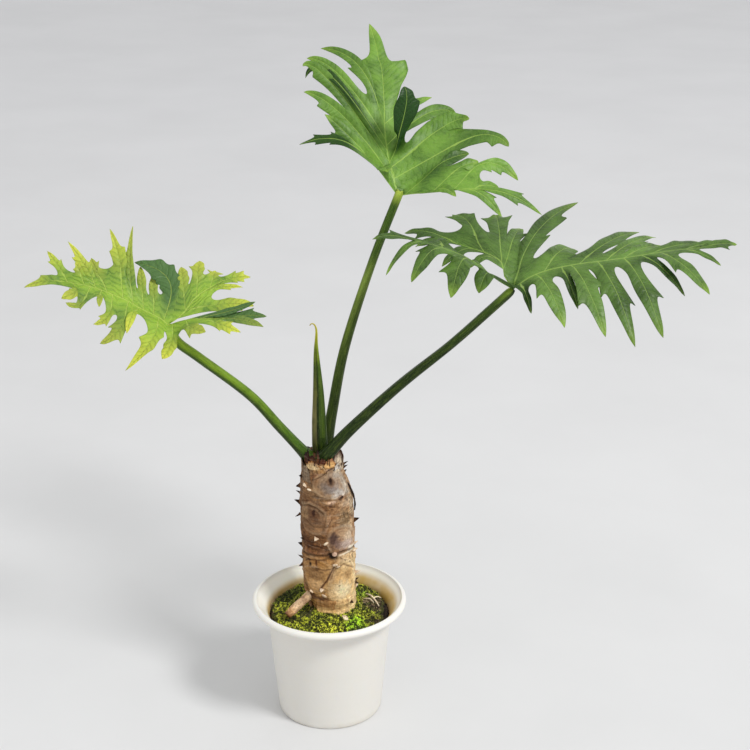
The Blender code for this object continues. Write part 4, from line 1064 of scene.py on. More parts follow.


# patches of moss colour and one of painted shade: place and reach in mm, strength, how brown and bare, colour
mossPatches = [
    # the first patch, near black green at the back left, is painted shade
    (-60, 36, 26, 0.92, 0.0, (0.03, 0.045, 0.006)), (-68, -12, 22, 0.8, 0.3, (0.26, 0.27, 0.025)),
    (-38, -40, 24, 0.75, 0.2, (0.4, 0.43, 0.03)), (0, -62, 22, 0.75, 0.2, (0.48, 0.5, 0.04)),
    (35, -48, 16, 0.85, 0.0, (0.27, 0.47, 0.022)), (42, 28, 12, 0.8, 0.1, (0.21, 0.33, 0.03)),
    (61, 6, 21, 0.97, 1.15, (0.06, 0.038, 0.014)), (77, -18, 12, 0.97, 1.0, (0.014, 0.01, 0.006)),
    (60, -38, 12, 0.8, 0.95, (0.085, 0.07, 0.016)), (-50, -28, 8, 0.85, 0.8, (0.03, 0.022, 0.008)),
    (-48, 12, 12, 0.7, 0.3, (0.055, 0.06, 0.01)), (22, -44, 8, 0.6, 0.0, (0.42, 0.46, 0.04)),
    (0, 62, 30, 0.5, 0.15, (0.16, 0.23, 0.02))]


def mossHeight(x, y):
    form = mossForm
    out = (math.hypot(x - form["footX"], y) - form["foot"]) / (form["radius"] - form["foot"])
    out = min(max(out, 0.0), 1.0)
    height = form["crown"] + (form["edge"] + 0.0025 - form["crown"]) * out ** 0.8
    height += (0.0011 * math.sin(x * 260 + 1.3) * math.sin(y * 230 + 0.4)
               + 0.0008 * math.sin(x * 520 - y * 330))
    height += 0.0016 * noise.noise(Vector((x, y, 0)) * 150) + 0.0018 * noise.noise(Vector((x, y, 1)) * 300)
    return height - 0.004 * math.exp(-(math.hypot(x + 0.046, y + 0.033) / 0.016) ** 2)


def groundMaterial(name, dark, light, rough, size):
    mat, tree, shader = newMaterial(name)
    place = objectPlace(tree)
    spots = useGroup(tree, speckle, Vector=place, Size=size, Amount=0.8)
    colour = mixColour(tree, spots.outputs["Mottle"], dark, light)
    colour = mixColour(tree, spots.outputs["Spots"], colour, [c * 2.2 for c in light])
    link(tree, colour, shader.inputs["Base Color"])
    shader.inputs["Roughness"].default_value = rough
    lumps = addNode(tree, "ShaderNodeTexVoronoi", feature="F1")
    link(tree, place, lumps.inputs["Vector"])
    lumps.inputs["Scale"].default_value = size
    bump(tree, shader, lumps.outputs["Distance"], 0.8, -0.0016)
    return mat


def tuftMaterial(name, colours, rough, lightThrough=0.0, painted=False):
    # three colours shared out by each tuft's own tone, in soft patches; where painted, mostly the painted
    # colour "tint", darker and lighter by that same share
    mat, tree, shader = newMaterial(name)
    place = objectPlace(tree)
    tone = attribute(tree, "tone")
    patch = mapRange(tree, noiseNode(tree, place, 55.0, 3.0), 0.35, 0.65, -0.25, 0.25)
    clump = mapRange(tree, noiseNode(tree, place, 260.0, 2.0), 0.38, 0.62, -0.58, 0.58)
    share = plus(tree, times(tree, tone, 0.8), plus(tree, patch, clump))
    share = mathNode(tree, "MINIMUM", mathNode(tree, "MAXIMUM", share, 0.0), 1.0)
    colour = mixColour(tree, mapRange(tree, share, 0.0, 0.5), colours[0], colours[1])
    colour = mixColour(tree, mapRange(tree, share, 0.5, 1.0), colour, colours[2])
    if painted:
        tint = attribute(tree, "tint", "Color")
        level = mapRange(tree, mathNode(tree, "POWER", share, 2.0), 0.0, 1.0, 0.07, 4.4)
        colour = mixColour(tree, 0.16, mixColour(tree, 1.0, tint, level, "MULTIPLY"), colour)
    grain = noiseNode(tree, place, 1600.0, 2.0)
    speck = mapRange(tree, grain, 0.35, 0.65, 0.0, 0.45)
    colour = mixColour(tree, speck, colour, [c * 0.45 for c in colours[0]])
    link(tree, colour, shader.inputs["Base Color"])
    link(tree, mapRange(tree, grain, 0.3, 0.7, rough - 0.1, rough + 0.08), shader.inputs["Roughness"])
    bump(tree, shader, grain, 0.4, 0.0006)
    lightInto(shader, lightThrough, (0.001, 0.0016, 0.0003))
    return mat


def makeMoss():
    form = mossForm
    rows, cover, brown, tints = [], [], [], []
    for i in range(form["rings"] + 1):
        out = i / form["rings"]
        row = []
        for k in range(form["sides"]):
            angle = math.tau * k / form["sides"]
            edge = form["radius"] + 0.0008 * math.sin(angle * 7) + 0.0012 * math.sin(angle * 23 + 1)
            edge -= form["gap"] * math.exp(-(math.sin(angle / 2) / 0.16) ** 2)
            near = Vector((form["footX"] + 0.0285 * math.cos(angle), 0.0285 * math.sin(angle)))
            spot = near.lerp(Vector((edge * math.cos(angle), edge * math.sin(angle))), out)
            height = mossHeight(spot.x, spot.y) - 0.0032 * max(0.0, (out - 0.9) / 0.1) ** 2
            row.append((spot.x, spot.y, height))
            patchy = noise.noise(Vector((spot.x, spot.y, 3)) * 120)
            bare = math.exp(-(math.hypot(spot.x + 0.028, spot.y + 0.026) / 0.012) ** 2)
            tint, dead = Vector((0.27, 0.3, 0.025)), 0.12
            for x, y, reach, strength, browned, colour in mossPatches:
                near = math.hypot(spot.x / mm - x, spot.y / mm - y) / reach * (1 + 0.5 * patchy)
                near = strength * float(smoothStep(near, 1.3, 0.5))
                tint = tint.lerp(Vector(colour), near)
                dead += (browned - dead) * near
            inside = float(smoothStep(out, 0.955, 0.915))
            # painted shade: the tint darkens towards the pot wall, where the moss meets it
            tints.append(tuple(tint * (0.35 + 0.65 * inside)))
            brown.append(max(0.0, dead + 0.5 * patchy) * inside)
            cover.append(max(0.0, min(1.0, 1.0 + 0.9 * patchy) - bare - 0.95 * dead) * inside)
        rows.append(row)
    bottom, under = [[(x, y, form["edge"] - form["thick"]) for x, y, _ in row] for row in (rows[-1], rows[0])]
    # from the trunk out over the top, down the edge and back beneath
    grid = [under] + rows + [bottom]
    sides, count = form["sides"], len(grid)
    faces = []
    for i in range(count):
        for k in range(sides):
            n, j = (k + 1) % sides, (i + 1) % count
            faces.append((i * sides + k, j * sides + k, j * sides + n, i * sides + n))
    mesh = newMesh("mossBed", [p for row in grid for p in row], faces)
    storeFloats(mesh, "cover", [0.0] * sides + cover + [0.0] * sides)
    storeColours(mesh, "tint", tints[:sides] + tints + tints[-sides:])
    ground = mesh.copy()
    earth = groundMaterial("mossBed", (0.018, 0.018, 0.005), (0.085, 0.09, 0.014), 0.95, 340.0)
    addPiece("mossBed", mesh, earth, "moss")
    greens = (0.06, 0.08, 0.008), (0.33, 0.38, 0.022), (0.72, 0.7, 0.06)
    green = tuftMaterial("mossTufts", greens, 0.75, 0.15, painted=True)
    scatter("mossTufts", ground, starStamp("tuft", 5, 0.0026, 0.00055, 0.0026, 3), green,
            form["tufts"])
    dead = tuftMaterial("deadBits", ((0.02, 0.011, 0.006), (0.085, 0.045, 0.02), (0.56, 0.42, 0.23)), 0.85)
    bits = ground.copy()
    bits.attributes["cover"].data.foreach_set("value", [0.0] * sides + brown + [0.0] * sides)
    scatter("deadBits", bits, stickStamp("bit", 0.0048, 0.0005, 6), dead, form["bits"])

    # bare soil at the pot's wall, with crumbs
    soil = soilForm
    spots, cover, sides = [], [], soil["sides"]
    for r in np.linspace(soil["inner"], soil["outer"], soil["rings"]):
        spots += ringPoints(r, soil["height"], sides)
        cover += [1.0 if r > soil["crumbsFrom"] else 0.0] * sides
    faces = [(i + k, i + sides + k, i + sides + (k + 1) % sides, i + (k + 1) % sides)
             for i in range(0, len(spots) - sides, sides) for k in range(sides)]
    strip = newMesh("soilStrip", spots, faces)
    storeFloats(strip, "cover", cover)
    darks = (0.018, 0.012, 0.008), (0.04, 0.026, 0.017), (0.09, 0.06, 0.038)
    dark = tuftMaterial("soilCrumbs", darks, 0.92)
    scatter("soilCrumbs", strip, lumpStamp("crumb", 0.0011, 5), dark, form["crumbs"])
    soil = groundMaterial("darkSoil", (0.016, 0.011, 0.008), (0.05, 0.034, 0.022), 0.95, 420.0)
    frame["nodes"]["potting_mix"].material_slots[0].material = soil


makeMoss()
print("moss made")


# trunk

trunkForm = {"sides": 230, "rows": 250, "foot": 0.146, "crown": 0.3805, "paintRadius": 0.035,
             "flakes": {"Density": 9000.0, "Smallest": 0.4, "Largest": 1.2, "Lean": 0.28, "Seed": 12}}
mmPerDegree = 0.62    # round the trunk at its usual radius
# height, middle of the section in x, radius
trunkProfile = [
    (0.164, 0.004, 0.029), (0.172, 0.003, 0.0322), (0.182, 0.001, 0.0345), (0.205, 0.0003, 0.0352),
    (0.245, 0.0, 0.0356), (0.29, -0.0014, 0.0356), (0.32, -0.0025, 0.035), (0.338, -0.0042, 0.0328),
    (0.355, -0.0066, 0.0282), (0.37, -0.0073, 0.0258), (0.3805, -0.0073, 0.0245)]
# degrees round from the front towards the right, height, half width and half height in mm, how grey, how pale
leafScars = [
    (20, 349, 25, 18, 0.5, 0.0), (-31, 300, 20, 21, 0.3, 0.0), (37, 204, 22, 31, 0.0, 0.0),
    (-27, 218, 21, 24, 0.0, 0.0), (36, 268, 21, 20, 0.3, 0.0), (138, 322, 20, 22, 0.9, 0.1),
    (-150, 262, 20, 23, 0.6, 0.1), (110, 250, 19, 22, 0.5, 0.3), (-175, 205, 19, 21, 0.3, 0.3),
    (-105, 330, 18, 21, 0.8, 0.1), (-100, 255, 17, 22, 0.5, 0.2), (125, 190, 17, 18, 0.2, 0.3)]
# colour of the bark at some heights in mm
barkBands = [
    (160, (0.62, 0.4, 0.17)), (238, (0.52, 0.31, 0.135)), (254, (0.3, 0.155, 0.068)),
    (320, (0.27, 0.15, 0.072)), (338, (0.33, 0.21, 0.12)), (383, (0.42, 0.25, 0.12))]
# painted light and shade: the bark is darker and redder on the left, the side away from the light, and
# lighter on the right, where the light falls: degrees round the front, colour share
barkSideLight = [
    (-180, (1.0, 1.0, 1.0)), (-110, (0.88, 0.84, 0.78)), (-60, (0.78, 0.68, 0.56)), (-15, (0.84, 0.76, 0.64)),
    (12, (0.98, 0.92, 0.82)), (38, (1.36, 1.44, 1.5)), (72, (1.5, 1.64, 1.76)), (115, (1.15, 1.12, 1.05)),
    (180, (1.0, 1.0, 1.0))]
# patches of other colour, some of them painted shade: degrees round, height, half width and half height in
# mm, strength, colour
barkPaint = [
    # the first two, dark brown down the left side, are painted shade on the side away from the light
    (-82, 330, 13, 60, 0.4, (0.2, 0.12, 0.07)), (-82, 220, 11, 50, 0.5, (0.19, 0.11, 0.05)),
    (74, 225, 9, 30, 0.5, (0.6, 0.44, 0.24)), (73, 312, 9, 22, 0.55, (0.4, 0.31, 0.2)),
    (-46, 361, 10, 12, 0.7, (0.42, 0.34, 0.25)), (20, 350, 22, 16, 0.6, (0.34, 0.25, 0.18)),
    (14, 343, 14, 8, 0.75, (0.2, 0.175, 0.175)), (37, 335, 12, 6, 0.8, (0.5, 0.45, 0.4)),
    (62, 345, 7, 18, 0.7, (0.5, 0.44, 0.36)), (44, 360, 9, 6, 0.6, (0.48, 0.42, 0.35)),
    (22, 351, 7, 8, 0.8, (0.16, 0.08, 0.038)), (22, 352.5, 3.4, 3.8, 1.0, (0.024, 0.009, 0.005)),
    (-25, 356, 10, 9, 0.7, (0.22, 0.105, 0.045)), (-22, 340, 16, 5, 0.4, (0.42, 0.28, 0.16)),
    (38, 329, 7, 3.2, 0.95, (0.2, 0.075, 0.032)), (14, 325, 7, 2.2, 0.8, (0.82, 0.58, 0.44)),
    (11, 320, 3, 2.4, 0.9, (0.08, 0.035, 0.02)), (15, 315, 2.2, 1.6, 0.85, (0.1, 0.045, 0.022)),
    (52, 320, 12, 6, 0.5, (0.38, 0.28, 0.19)), (-31, 299, 20, 19, 0.65, (0.27, 0.16, 0.092)),
    (-55, 306, 8, 14, 0.65, (0.46, 0.33, 0.2)), (-28, 303, 9, 11, 0.75, (0.17, 0.082, 0.045)),
    (-28, 309, 2.6, 5.0, 0.95, (0.06, 0.022, 0.015)), (-20, 287, 9, 6, 0.45, (0.42, 0.25, 0.13)),
    (8, 296, 7, 16, 0.6, (0.44, 0.255, 0.125)), (44, 298, 13, 13, 0.75, (0.15, 0.094, 0.045)),
    (60, 285, 6, 8, 0.5, (0.44, 0.32, 0.19)), (-47, 262, 17, 9, 0.85, (0.105, 0.043, 0.017)),
    (-12, 257, 12, 7, 0.7, (0.17, 0.08, 0.038)), (-66, 275, 6, 14, 0.5, (0.17, 0.09, 0.045)),
    (-22, 274, 12, 7, 0.65, (0.17, 0.088, 0.04)), (42, 279, 12, 8, 0.8, (0.36, 0.225, 0.125)),
    (52, 270, 9, 8, 0.7, (0.54, 0.4, 0.27)), (44, 260, 13, 7, 0.75, (0.4, 0.3, 0.25)),
    (13, 271, 7, 12, 0.9, (0.078, 0.044, 0.04)), (24, 263, 6, 8, 0.55, (0.17, 0.11, 0.1)),
    (62, 252, 9, 4, 0.85, (0.7, 0.58, 0.44)), (-42, 249, 15, 2.6, 0.7, (0.26, 0.105, 0.05)),
    (-8, 251, 10, 2.8, 0.6, (0.36, 0.2, 0.12)), (45, 243, 17, 3.6, 0.65, (0.52, 0.36, 0.2)),
    # the near black disc at 8.5 degrees and 246.6 mm is painted shade in the pit round the knob
    (8.5, 246.6, 7.4, 6.4, 1.0, (0.012, 0.007, 0.005)), (-17, 238, 17, 9, 0.7, (0.5, 0.26, 0.08)),
    (-28, 216, 14, 11, 0.6, (0.31, 0.19, 0.1)), (-30, 202, 14, 7, 0.85, (0.86, 0.6, 0.34)),
    (-44, 230, 2.6, 2.6, 1.0, (0.01, 0.008, 0.006)), (-48, 237, 3.6, 2.0, 0.9, (0.07, 0.03, 0.016)),
    (-27, 235, 1.8, 6, 0.9, (0.11, 0.038, 0.018)), (12, 216, 8, 10, 0.6, (0.64, 0.44, 0.23)),
    (-30, 226, 8, 4, 0.7, (0.2, 0.105, 0.045)), (40, 231, 18, 9, 0.5, (0.52, 0.38, 0.2)),
    (51, 214, 9, 8, 0.7, (0.3, 0.165, 0.065)), (24, 192, 17, 16, 0.85, (0.78, 0.6, 0.36)),
    (22, 196, 8, 8, 0.65, (0.84, 0.68, 0.44)), (50, 190, 8, 8, 0.6, (0.62, 0.5, 0.31)),
    (-46, 182, 15, 6, 0.9, (0.095, 0.036, 0.015)), (-12, 180, 10, 5, 0.8, (0.18, 0.065, 0.026)),
    (-62, 195, 7, 9, 0.6, (0.16, 0.075, 0.03))]
# grooves and ridges: width and depth in mm, how dark (painted shade in the grooves, with their own darker
# colour), how pale, how reddish, and the line
trunkMarks = [
    (2.4, -1.4, 0.45, 0, 0, [(23, 355), (22, 350)]),
    (2.0, 0.5, 0, 0.22, 0.25, [(-24, 354), (-5, 364), (22, 369)]),
    (1.3, 0.5, 0, 0.1, 0.9, [(-28, 358), (-2, 365), (35, 370)]),
    # the pit round the knob, darkened as painted shade
    (4.8, -2.6, 0.7, 0, 0, [(6, 248), (11, 245)]),
    (1.0, -0.6, 0.6, 0, 0.3, [(-28, 354), (0, 360), (20, 368)]),
    (1.6, 0.6, 0, 0.3, 0.2, [(-65, 316), (-38, 322), (-16, 319), (-1, 312)]),
    (1.3, -0.5, 0.45, 0, 0.4, [(-62, 320), (-35, 326), (-12, 322), (3, 314)]),
    (1.5, 0.5, 0, 0.2, 0.2, [(-66, 309), (-39, 315), (-21, 314), (-9, 307)]),
    (1.2, -0.6, 0.6, 0, 0.2, [(-64, 313), (-39, 319), (-19, 317), (-5, 309)]),
    (1.8, -0.7, 0.15, 0, 0, [(-28, 313), (-28, 305)]),
    (1.4, 0.8, 0, 0.2, 0.55, [(9, 308), (4, 295), (-4, 280)]),
    (1.2, -0.7, 0.35, 0, 0.2, [(1, 306), (-4, 292), (-10, 280)]),
    (0.9, -0.6, 0.7, 0, 0, [(39, 307), (44, 299)]), (0.8, -0.6, 0.7, 0, 0, [(51, 306), (54, 299)]),
    (1.0, -0.5, 0.5, 0, 0.1, [(-58, 296), (-30, 288), (0, 290), (12, 300)]),
    (1.0, 0.6, 0, 0.5, 0.5, [(-2, 267), (7, 255)]),
    (0.9, -0.6, 0.7, 0, 0.2, [(-38, 260), (-16, 260), (5, 255)]),
    (0.8, -0.5, 0.55, 0, 0.2, [(-47, 264), (-25, 265), (-7, 262)]),
    (2.0, -1.5, 0.75, 0, 0.35, [(-120, 240), (-87, 241), (-74, 241), (-31, 246), (-4, 247), (20, 250),
                                (40, 251), (64, 249), (110, 244)]),
    (1.0, -0.7, 0.6, 0, 0.4, [(-87, 232), (-37, 238), (-4, 242)]),
    (2.0, -1.8, 0.6, 0, 0, [(-45, 231), (-45, 229)]), (1.0, -0.9, 0.3, 0, 0.6, [(-28, 241), (-27, 229)]),
    (1.4, -1.3, 0.7, 0, 0.8, [(15, 232), (6, 222), (-3, 210), (-20, 195)]),
    (0.9, -0.6, 0.6, 0, 0.3, [(-28, 226), (-7, 225), (8, 228)]),
    (1.0, 0.6, 0, 0.8, 0, [(25, 247), (48, 248), (72, 247)]), (1.0, -0.6, 0.8, 0, 0, [(27, 243), (31, 241)]),
    (1.0, -0.6, 0.8, 0, 0, [(38, 238), (41, 236)]), (1.0, -0.6, 0.8, 0, 0, [(51, 233), (55, 231)]),
    (1.4, -0.8, 0.8, 0, 0.2, [(19, 368), (32, 369)]), (1.3, -0.8, 0.8, 0, 0.2, [(-58, 233), (-46, 238)]),
    (1.1, -0.8, 0.5, 0, 0.4, [(4, 211), (13, 226), (34, 232), (68, 219)]),
    (1.4, 0.9, 0, 0.35, 0.3, [(-87, 209), (-51, 226), (-25, 229)]),
    (1.1, -0.9, 0.7, 0, 0.3, [(-84, 202), (-60, 190), (-35, 186)]),
    (1.0, -0.8, 0.6, 0, 0.4, [(60, 300), (85, 290), (110, 296)]),
    (1.2, -1.0, 0.8, 0, 0.2, [(150, 290), (152, 278)]),
    (1.0, -0.8, 0.6, 0, 0.3, [(-160, 300), (-130, 292), (-100, 297)]),
    (1.3, -1.0, 0.9, 0, 0, [(-151, 268), (-150, 256)]), (1.3, -1.0, 0.9, 0, 0, [(137, 328), (139, 316)]),
    (1.0, -0.7, 0.7, 0, 0.3, [(165, 240), (-170, 233), (-140, 238)]),
    (1.3, -1.0, 0.9, 0, 0, [(99, 256), (101, 244)]), (1.2, -0.9, 0.8, 0, 0, [(-175, 211), (-174, 200)])]


def arcFrom(front, middle):
    # millimetres round the trunk from a middle, given in degrees
    return ((front - middle + 180) % 360 - 180) * mmPerDegree


def raiseTo(masks, key, value):
    masks[key] = np.maximum(masks[key], value)


def markDistance(front, height, line):
    # millimetres from every point to a line drawn on the unrolled trunk
    best = np.full(front.shape, 1e3)
    for (a, z), (b, w) in zip(line, line[1:]):
        if abs(b - a) > 180:
            b += 360 if b < a else -360
        dx, dz = (b - a) * mmPerDegree, w - z
        px, pz = arcFrom(front, a), height - z
        t = np.clip((px * dx + pz * dz) / (dx * dx + dz * dz), 0, 1)
        best = np.minimum(best, np.hypot(px - t * dx, pz - t * dz))
    return best


def trunkSurface(front, height):
    # relief in mm and colour masks at every place, from degrees round the front and height in mm
    relief = np.zeros(front.shape)
    masks = {key: np.zeros(front.shape) for key in ("scar", "smooth", "dark", "pale", "red")}
    for a, h, wide, tall, grey, pale in leafScars:
        across = arcFrom(front, a) / wide
        up = (height - h) / tall
        reach = np.hypot(across, up) * (1 + 0.06 * np.sin(np.arctan2(up, across) * 3 + a))
        dish = -0.8 * np.clip(1 - reach ** 3, 0, 1)
        rim = 0.7 * gaussian(reach - 1.06, 0.18) - 0.4 * gaussian(reach - 1.32, 0.12)
        rings = 0.16 * np.sin(reach * 30 + a) * (reach < 1.45)
        here = dish + rim + rings
        relief = np.where(np.abs(here) > np.abs(relief), here, relief)
        raiseTo(masks, "smooth", smoothStep(reach, 1.35, 0.95))
        raiseTo(masks, "scar", grey * smoothStep(reach, 1.3, 0.45))
        # painted shade: darker where the rim falls into its outer groove and in the hollows between the rings
        raiseTo(masks, "dark", 0.16 * gaussian(reach - 1.22, 0.07))
        raiseTo(masks, "dark", 0.16 * (0.5 - 0.5 * np.sin(reach * 30 + a)) * (reach < 1.45))
        raiseTo(masks, "pale", pale * smoothStep(reach, 1.05, 0.2))
        raiseTo(masks, "pale", 0.16 * gaussian(reach - 1.06, 0.1))
    for width, depth, dark, pale, red, line in trunkMarks:
        near = gaussian(markDistance(front, height, line), width)
        relief += depth * near
        raiseTo(masks, "dark", dark * near)
        raiseTo(masks, "pale", pale * near)
        raiseTo(masks, "red", red * near)
    return relief, masks


def trunkSection(z):
    heights, middles, radii = zip(*trunkProfile)
    return np.interp(z, heights, middles), np.interp(z, heights, radii)


def trunkPlaces(places):
    # points on the trunk from rows of degrees round, height in mm and how proud of it in mm
    front, height, proud = np.array(places, float).T
    relief = trunkSurface(front, height)[0]
    middle, radius = trunkSection(height * mm)
    reach = radius + (np.minimum(relief, 1.0) + proud) * mm
    angle = np.radians(front - 90)
    spots = np.stack([middle + reach * np.cos(angle), reach * np.sin(angle), height * mm], -1)
    return [Vector(spot) for spot in spots.tolist()]


barkLooks = {"dark": (0.018, 0.009, 0.005), "pale": (0.82, 0.69, 0.52), "red": (0.23, 0.08, 0.032),
             "fibres": 0.34}


def barkMaterial(name, looks, fibre=(230.0, 230.0, 46.0)):
    # the painted colour "tint", with mottling, fine level lines, fibres and specks
    mat, tree, shader = newMaterial(name)
    place = objectPlace(tree)
    fine = noiseNode(tree, stretched(tree, place, fibre), 1.0, 4.0, 0.65)
    level = noiseNode(tree, stretched(tree, place, (45.0, 45.0, 420.0)), 1.0, 4.0, 0.6)
    mottle = noiseNode(tree, place, 230.0, 5.0, 0.65)
    spots = useGroup(tree, speckle, Vector=place, Size=650.0, Amount=0.8)
    colour = attribute(tree, "tint", "Color")
    rough = mathNode(tree, "SUBTRACT", 1.0, attribute(tree, "smooth"))
    lines = mapRange(tree, rough, 0.0, 1.0, 0.35, 1.0)
    soft = mapRange(tree, rough, 0.0, 1.0, 0.6, 1.0)
    darker = times(tree, mapRange(tree, mottle, 0.51, 0.38, 0.0, 0.66), soft)
    lighter = times(tree, mapRange(tree, mottle, 0.53, 0.66, 0.0, 0.85), soft)
    colour = mixColour(tree, darker, colour, (0.5, 0.38, 0.28), "MULTIPLY")
    colour = mixColour(tree, lighter, colour, (1.45, 1.4, 1.3), "MULTIPLY")
    grooves = times(tree, mapRange(tree, level, 0.48, 0.36, 0.0, 0.52), lines)
    colour = mixColour(tree, grooves, colour, (0.48, 0.35, 0.25), "MULTIPLY")
    ridges = times(tree, mapRange(tree, level, 0.54, 0.68, 0.0, 0.16), lines)
    colour = mixColour(tree, ridges, colour, looks["pale"])
    crack = times(tree, mapRange(tree, fine, 0.46, 0.32, 0.0, looks["fibres"]), rough)
    colour = mixColour(tree, crack, colour, looks["dark"])
    colour = mixColour(tree, times(tree, spots.outputs["Spots"], 0.36), colour, looks["dark"])
    # the dark mask: painted shade in grooves, scar rings and hollows, with the grooves' own darker colour
    colour = mixColour(tree, attribute(tree, "dark"), colour, looks["dark"])
    link(tree, colour, shader.inputs["Base Color"])
    link(tree, mapRange(tree, mottle, 0.3, 0.7, 0.7, 0.92), shader.inputs["Roughness"])
    relief = plus(tree, times(tree, fine, 0.5), mottle)
    relief = plus(tree, relief, times(tree, level, 0.5))
    relief = plus(tree, relief, times(tree, spots.outputs["Spots"], -0.3))
    bump(tree, shader, relief, 0.6, 0.0009)
    shader.inputs["Specular IOR Level"].default_value = 0.18
    return mat


def paintBark(front, height, masks, ragged, creases):
    # the bark's colour at every place: bands, then patches with uneven edges, then the masks
    tint = alongColours(barkBands, height.ravel()).reshape(*height.shape, 3)

    def lay(share, colour):
        nonlocal tint
        tint = tint + share[..., None] * (np.array(colour) - tint)
    lay(masks["scar"] * 0.7, (0.3, 0.25, 0.22))
    for a, h, wide, tall, strength, colour in barkPaint:
        across = arcFrom(front, a) / wide
        reach = np.hypot(across, (height - h) / tall) * (1 + 0.35 * ragged)
        lay(strength * smoothStep(reach, 1.3, 0.5), colour)
    lay(masks["red"], barkLooks["red"])
    lay(masks["pale"], barkLooks["pale"])
    # painted light and shade by side: darker on the left, lighter on the right, the lighter side weaker near
    # the top
    sides = alongColours(barkSideLight, front.ravel()).reshape(*front.shape, 3)
    paintedLight = np.maximum(sides, 1.0) ** (0.25 + 0.75 * smoothStep(height, 345, 315))[..., None]
    tint = tint * np.minimum(sides, 1.0) * paintedLight
    # painted light and shade: lighter and darker with the creases, which also shape the relief; ragged adds
    # random unevenness
    uneven = 1 + (0.3 * creases + 0.26 * ragged) * (1 - 0.4 * masks["smooth"])
    return np.clip(tint * uneven[..., None], 0.004, 0.92)


def makeTrunk():
    form = trunkForm
    heights = np.linspace(form["foot"], form["crown"], form["rows"])
    sides = form["sides"]
    angle = np.arange(sides) * math.tau / sides
    z, a = np.meshgrid(heights, angle, indexing="ij")
    front = (np.degrees(a) + 90 + 180) % 360 - 180
    relief, masks = trunkSurface(front, z * 1000)
    middle, radius = trunkSection(z)
    flatPlaces = np.stack([np.cos(a) * form["paintRadius"], np.sin(a) * form["paintRadius"], z], -1)
    flatPlaces = flatPlaces.reshape(-1, 3)
    lumps = roughness(flatPlaces, 95.0).reshape(z.shape)
    fibres = roughness(flatPlaces * np.array([1, 1, 0.22]), 520.0, 3.0).reshape(z.shape)
    creases = roughness(flatPlaces * np.array([0.35, 0.35, 1]), 330.0, 7.0).reshape(z.shape)
    relief += 0.55 * lumps + 0.25 * fibres * (1 - 0.8 * masks["smooth"]) + 0.22 * creases
    # painted shade in the hollows of the fibres and lumps
    raiseTo(masks, "dark", 0.4 * smoothStep(-fibres - 0.4 * lumps, 0.35, 0.8)
                               * (1 - 0.7 * masks["smooth"]))
    ragged = roughness(flatPlaces, 210.0, 5.0).reshape(z.shape)
    tint = paintBark(front, z * 1000, masks, ragged, creases)
    fade = smoothStep(z, 0.158, 0.172) * smoothStep(z, form["crown"] + 0.001, form["crown"] - 0.006)
    reach = radius + relief * mm * fade + 0.0004 * lumps
    grid = np.stack([middle + reach * np.cos(a), reach * np.sin(a), z], -1)
    lid = []
    for share, rise in ((0.8, 0.001), (0.5, 0.0016), (0.2, 0.0018)):
        ring = grid[-1] * share + np.array([middle[-1, 0], 0, form["crown"]]) * (1 - share)
        ring[:, 2] = form["crown"] + rise
        lid.append(ring)
    rows = list(grid) + lid
    mesh = skinMesh("trunkBark", rows, [h * 1000 for h in heights] + [381, 382, 383], 224 / sides)
    storeColours(mesh, "tint", np.vstack([tint.reshape(-1, 3), np.full((3 * sides, 3), (0.16, 0.07, 0.03))]))
    for key in ("smooth", "dark"):
        flat = masks[key].ravel().tolist()
        storeFloats(mesh, key, flat + [0.5 if key == "dark" else 0.0] * (len(mesh.vertices) - len(flat)))
    cover = np.clip(1 - masks["smooth"].ravel(), 0.15, 1) * (z.ravel() > 0.16)
    storeFloats(mesh, "cover", np.concatenate([cover, np.zeros(len(mesh.vertices) - z.size)]))
    ground = mesh.copy()
    bark = barkMaterial("scarredBark", barkLooks)
    addPiece("trunkBark", mesh, bark, "trunk")
    browns = (0.06, 0.035, 0.02), (0.23, 0.15, 0.09), (0.48, 0.36, 0.24)
    dry = tuftMaterial("barkFlakes", browns, 0.85)
    scatter("barkFlakes", ground, stickStamp("flake", 0.003, 0.00032, 8), dry, form["flakes"])
    return bark


bark = makeTrunk()
print("trunk made")

# pointed scales: degrees round from the front, height, length, width in mm, and how pale
barkScales = [
    (-86, 336, 6, 2.4, 0.1), (-88, 324, 5.5, 2.2, 0.2), (-87, 311, 6.5, 2.4, 0.1), (-87, 294, 7, 2.6, 0.1),
    (-85, 248, 6, 2.6, 0.5), (-86, 228, 6, 2.4, 0.2), (-84, 219, 5.5, 2.6, 0.0), (93, 364, 7, 2.6, 0.0),
    (88, 361, 6, 2.2, 0.0), (90, 283, 7, 2.6, 0.2), (88, 249, 5, 2.2, 0.8), (74, 243, 5.5, 3.0, 0.9),
    (86, 205, 8, 1.6, 0.9), (90, 199, 7, 1.4, 0.8), (88, 193, 5, 2.4, 0.0), (-50, 344, 6, 2.2, 0.8),
    (-36, 340, 5.5, 2.0, 0.8), (39, 329, 6.5, 2.2, 0.1), (-23, 273, 4.6, 2.0, 0.9), (-2, 266, 6, 2.2, 0.9),
    (15, 233, 5.5, 2.2, 0.9), (22, 230, 4, 1.8, 0.7), (-42, 189, 5, 2.0, 0.8), (-15, 197, 4.4, 1.9, 0.95),
    (-11, 186, 5.0, 2.1, 1.0), (-66, 262, 5, 2.0, 0.2), (54, 171, 5, 2.2, 0.5), (-70, 352, 5, 2.0, 0.3),
    (90, 190, 5.0, 3.0, 0.0)]


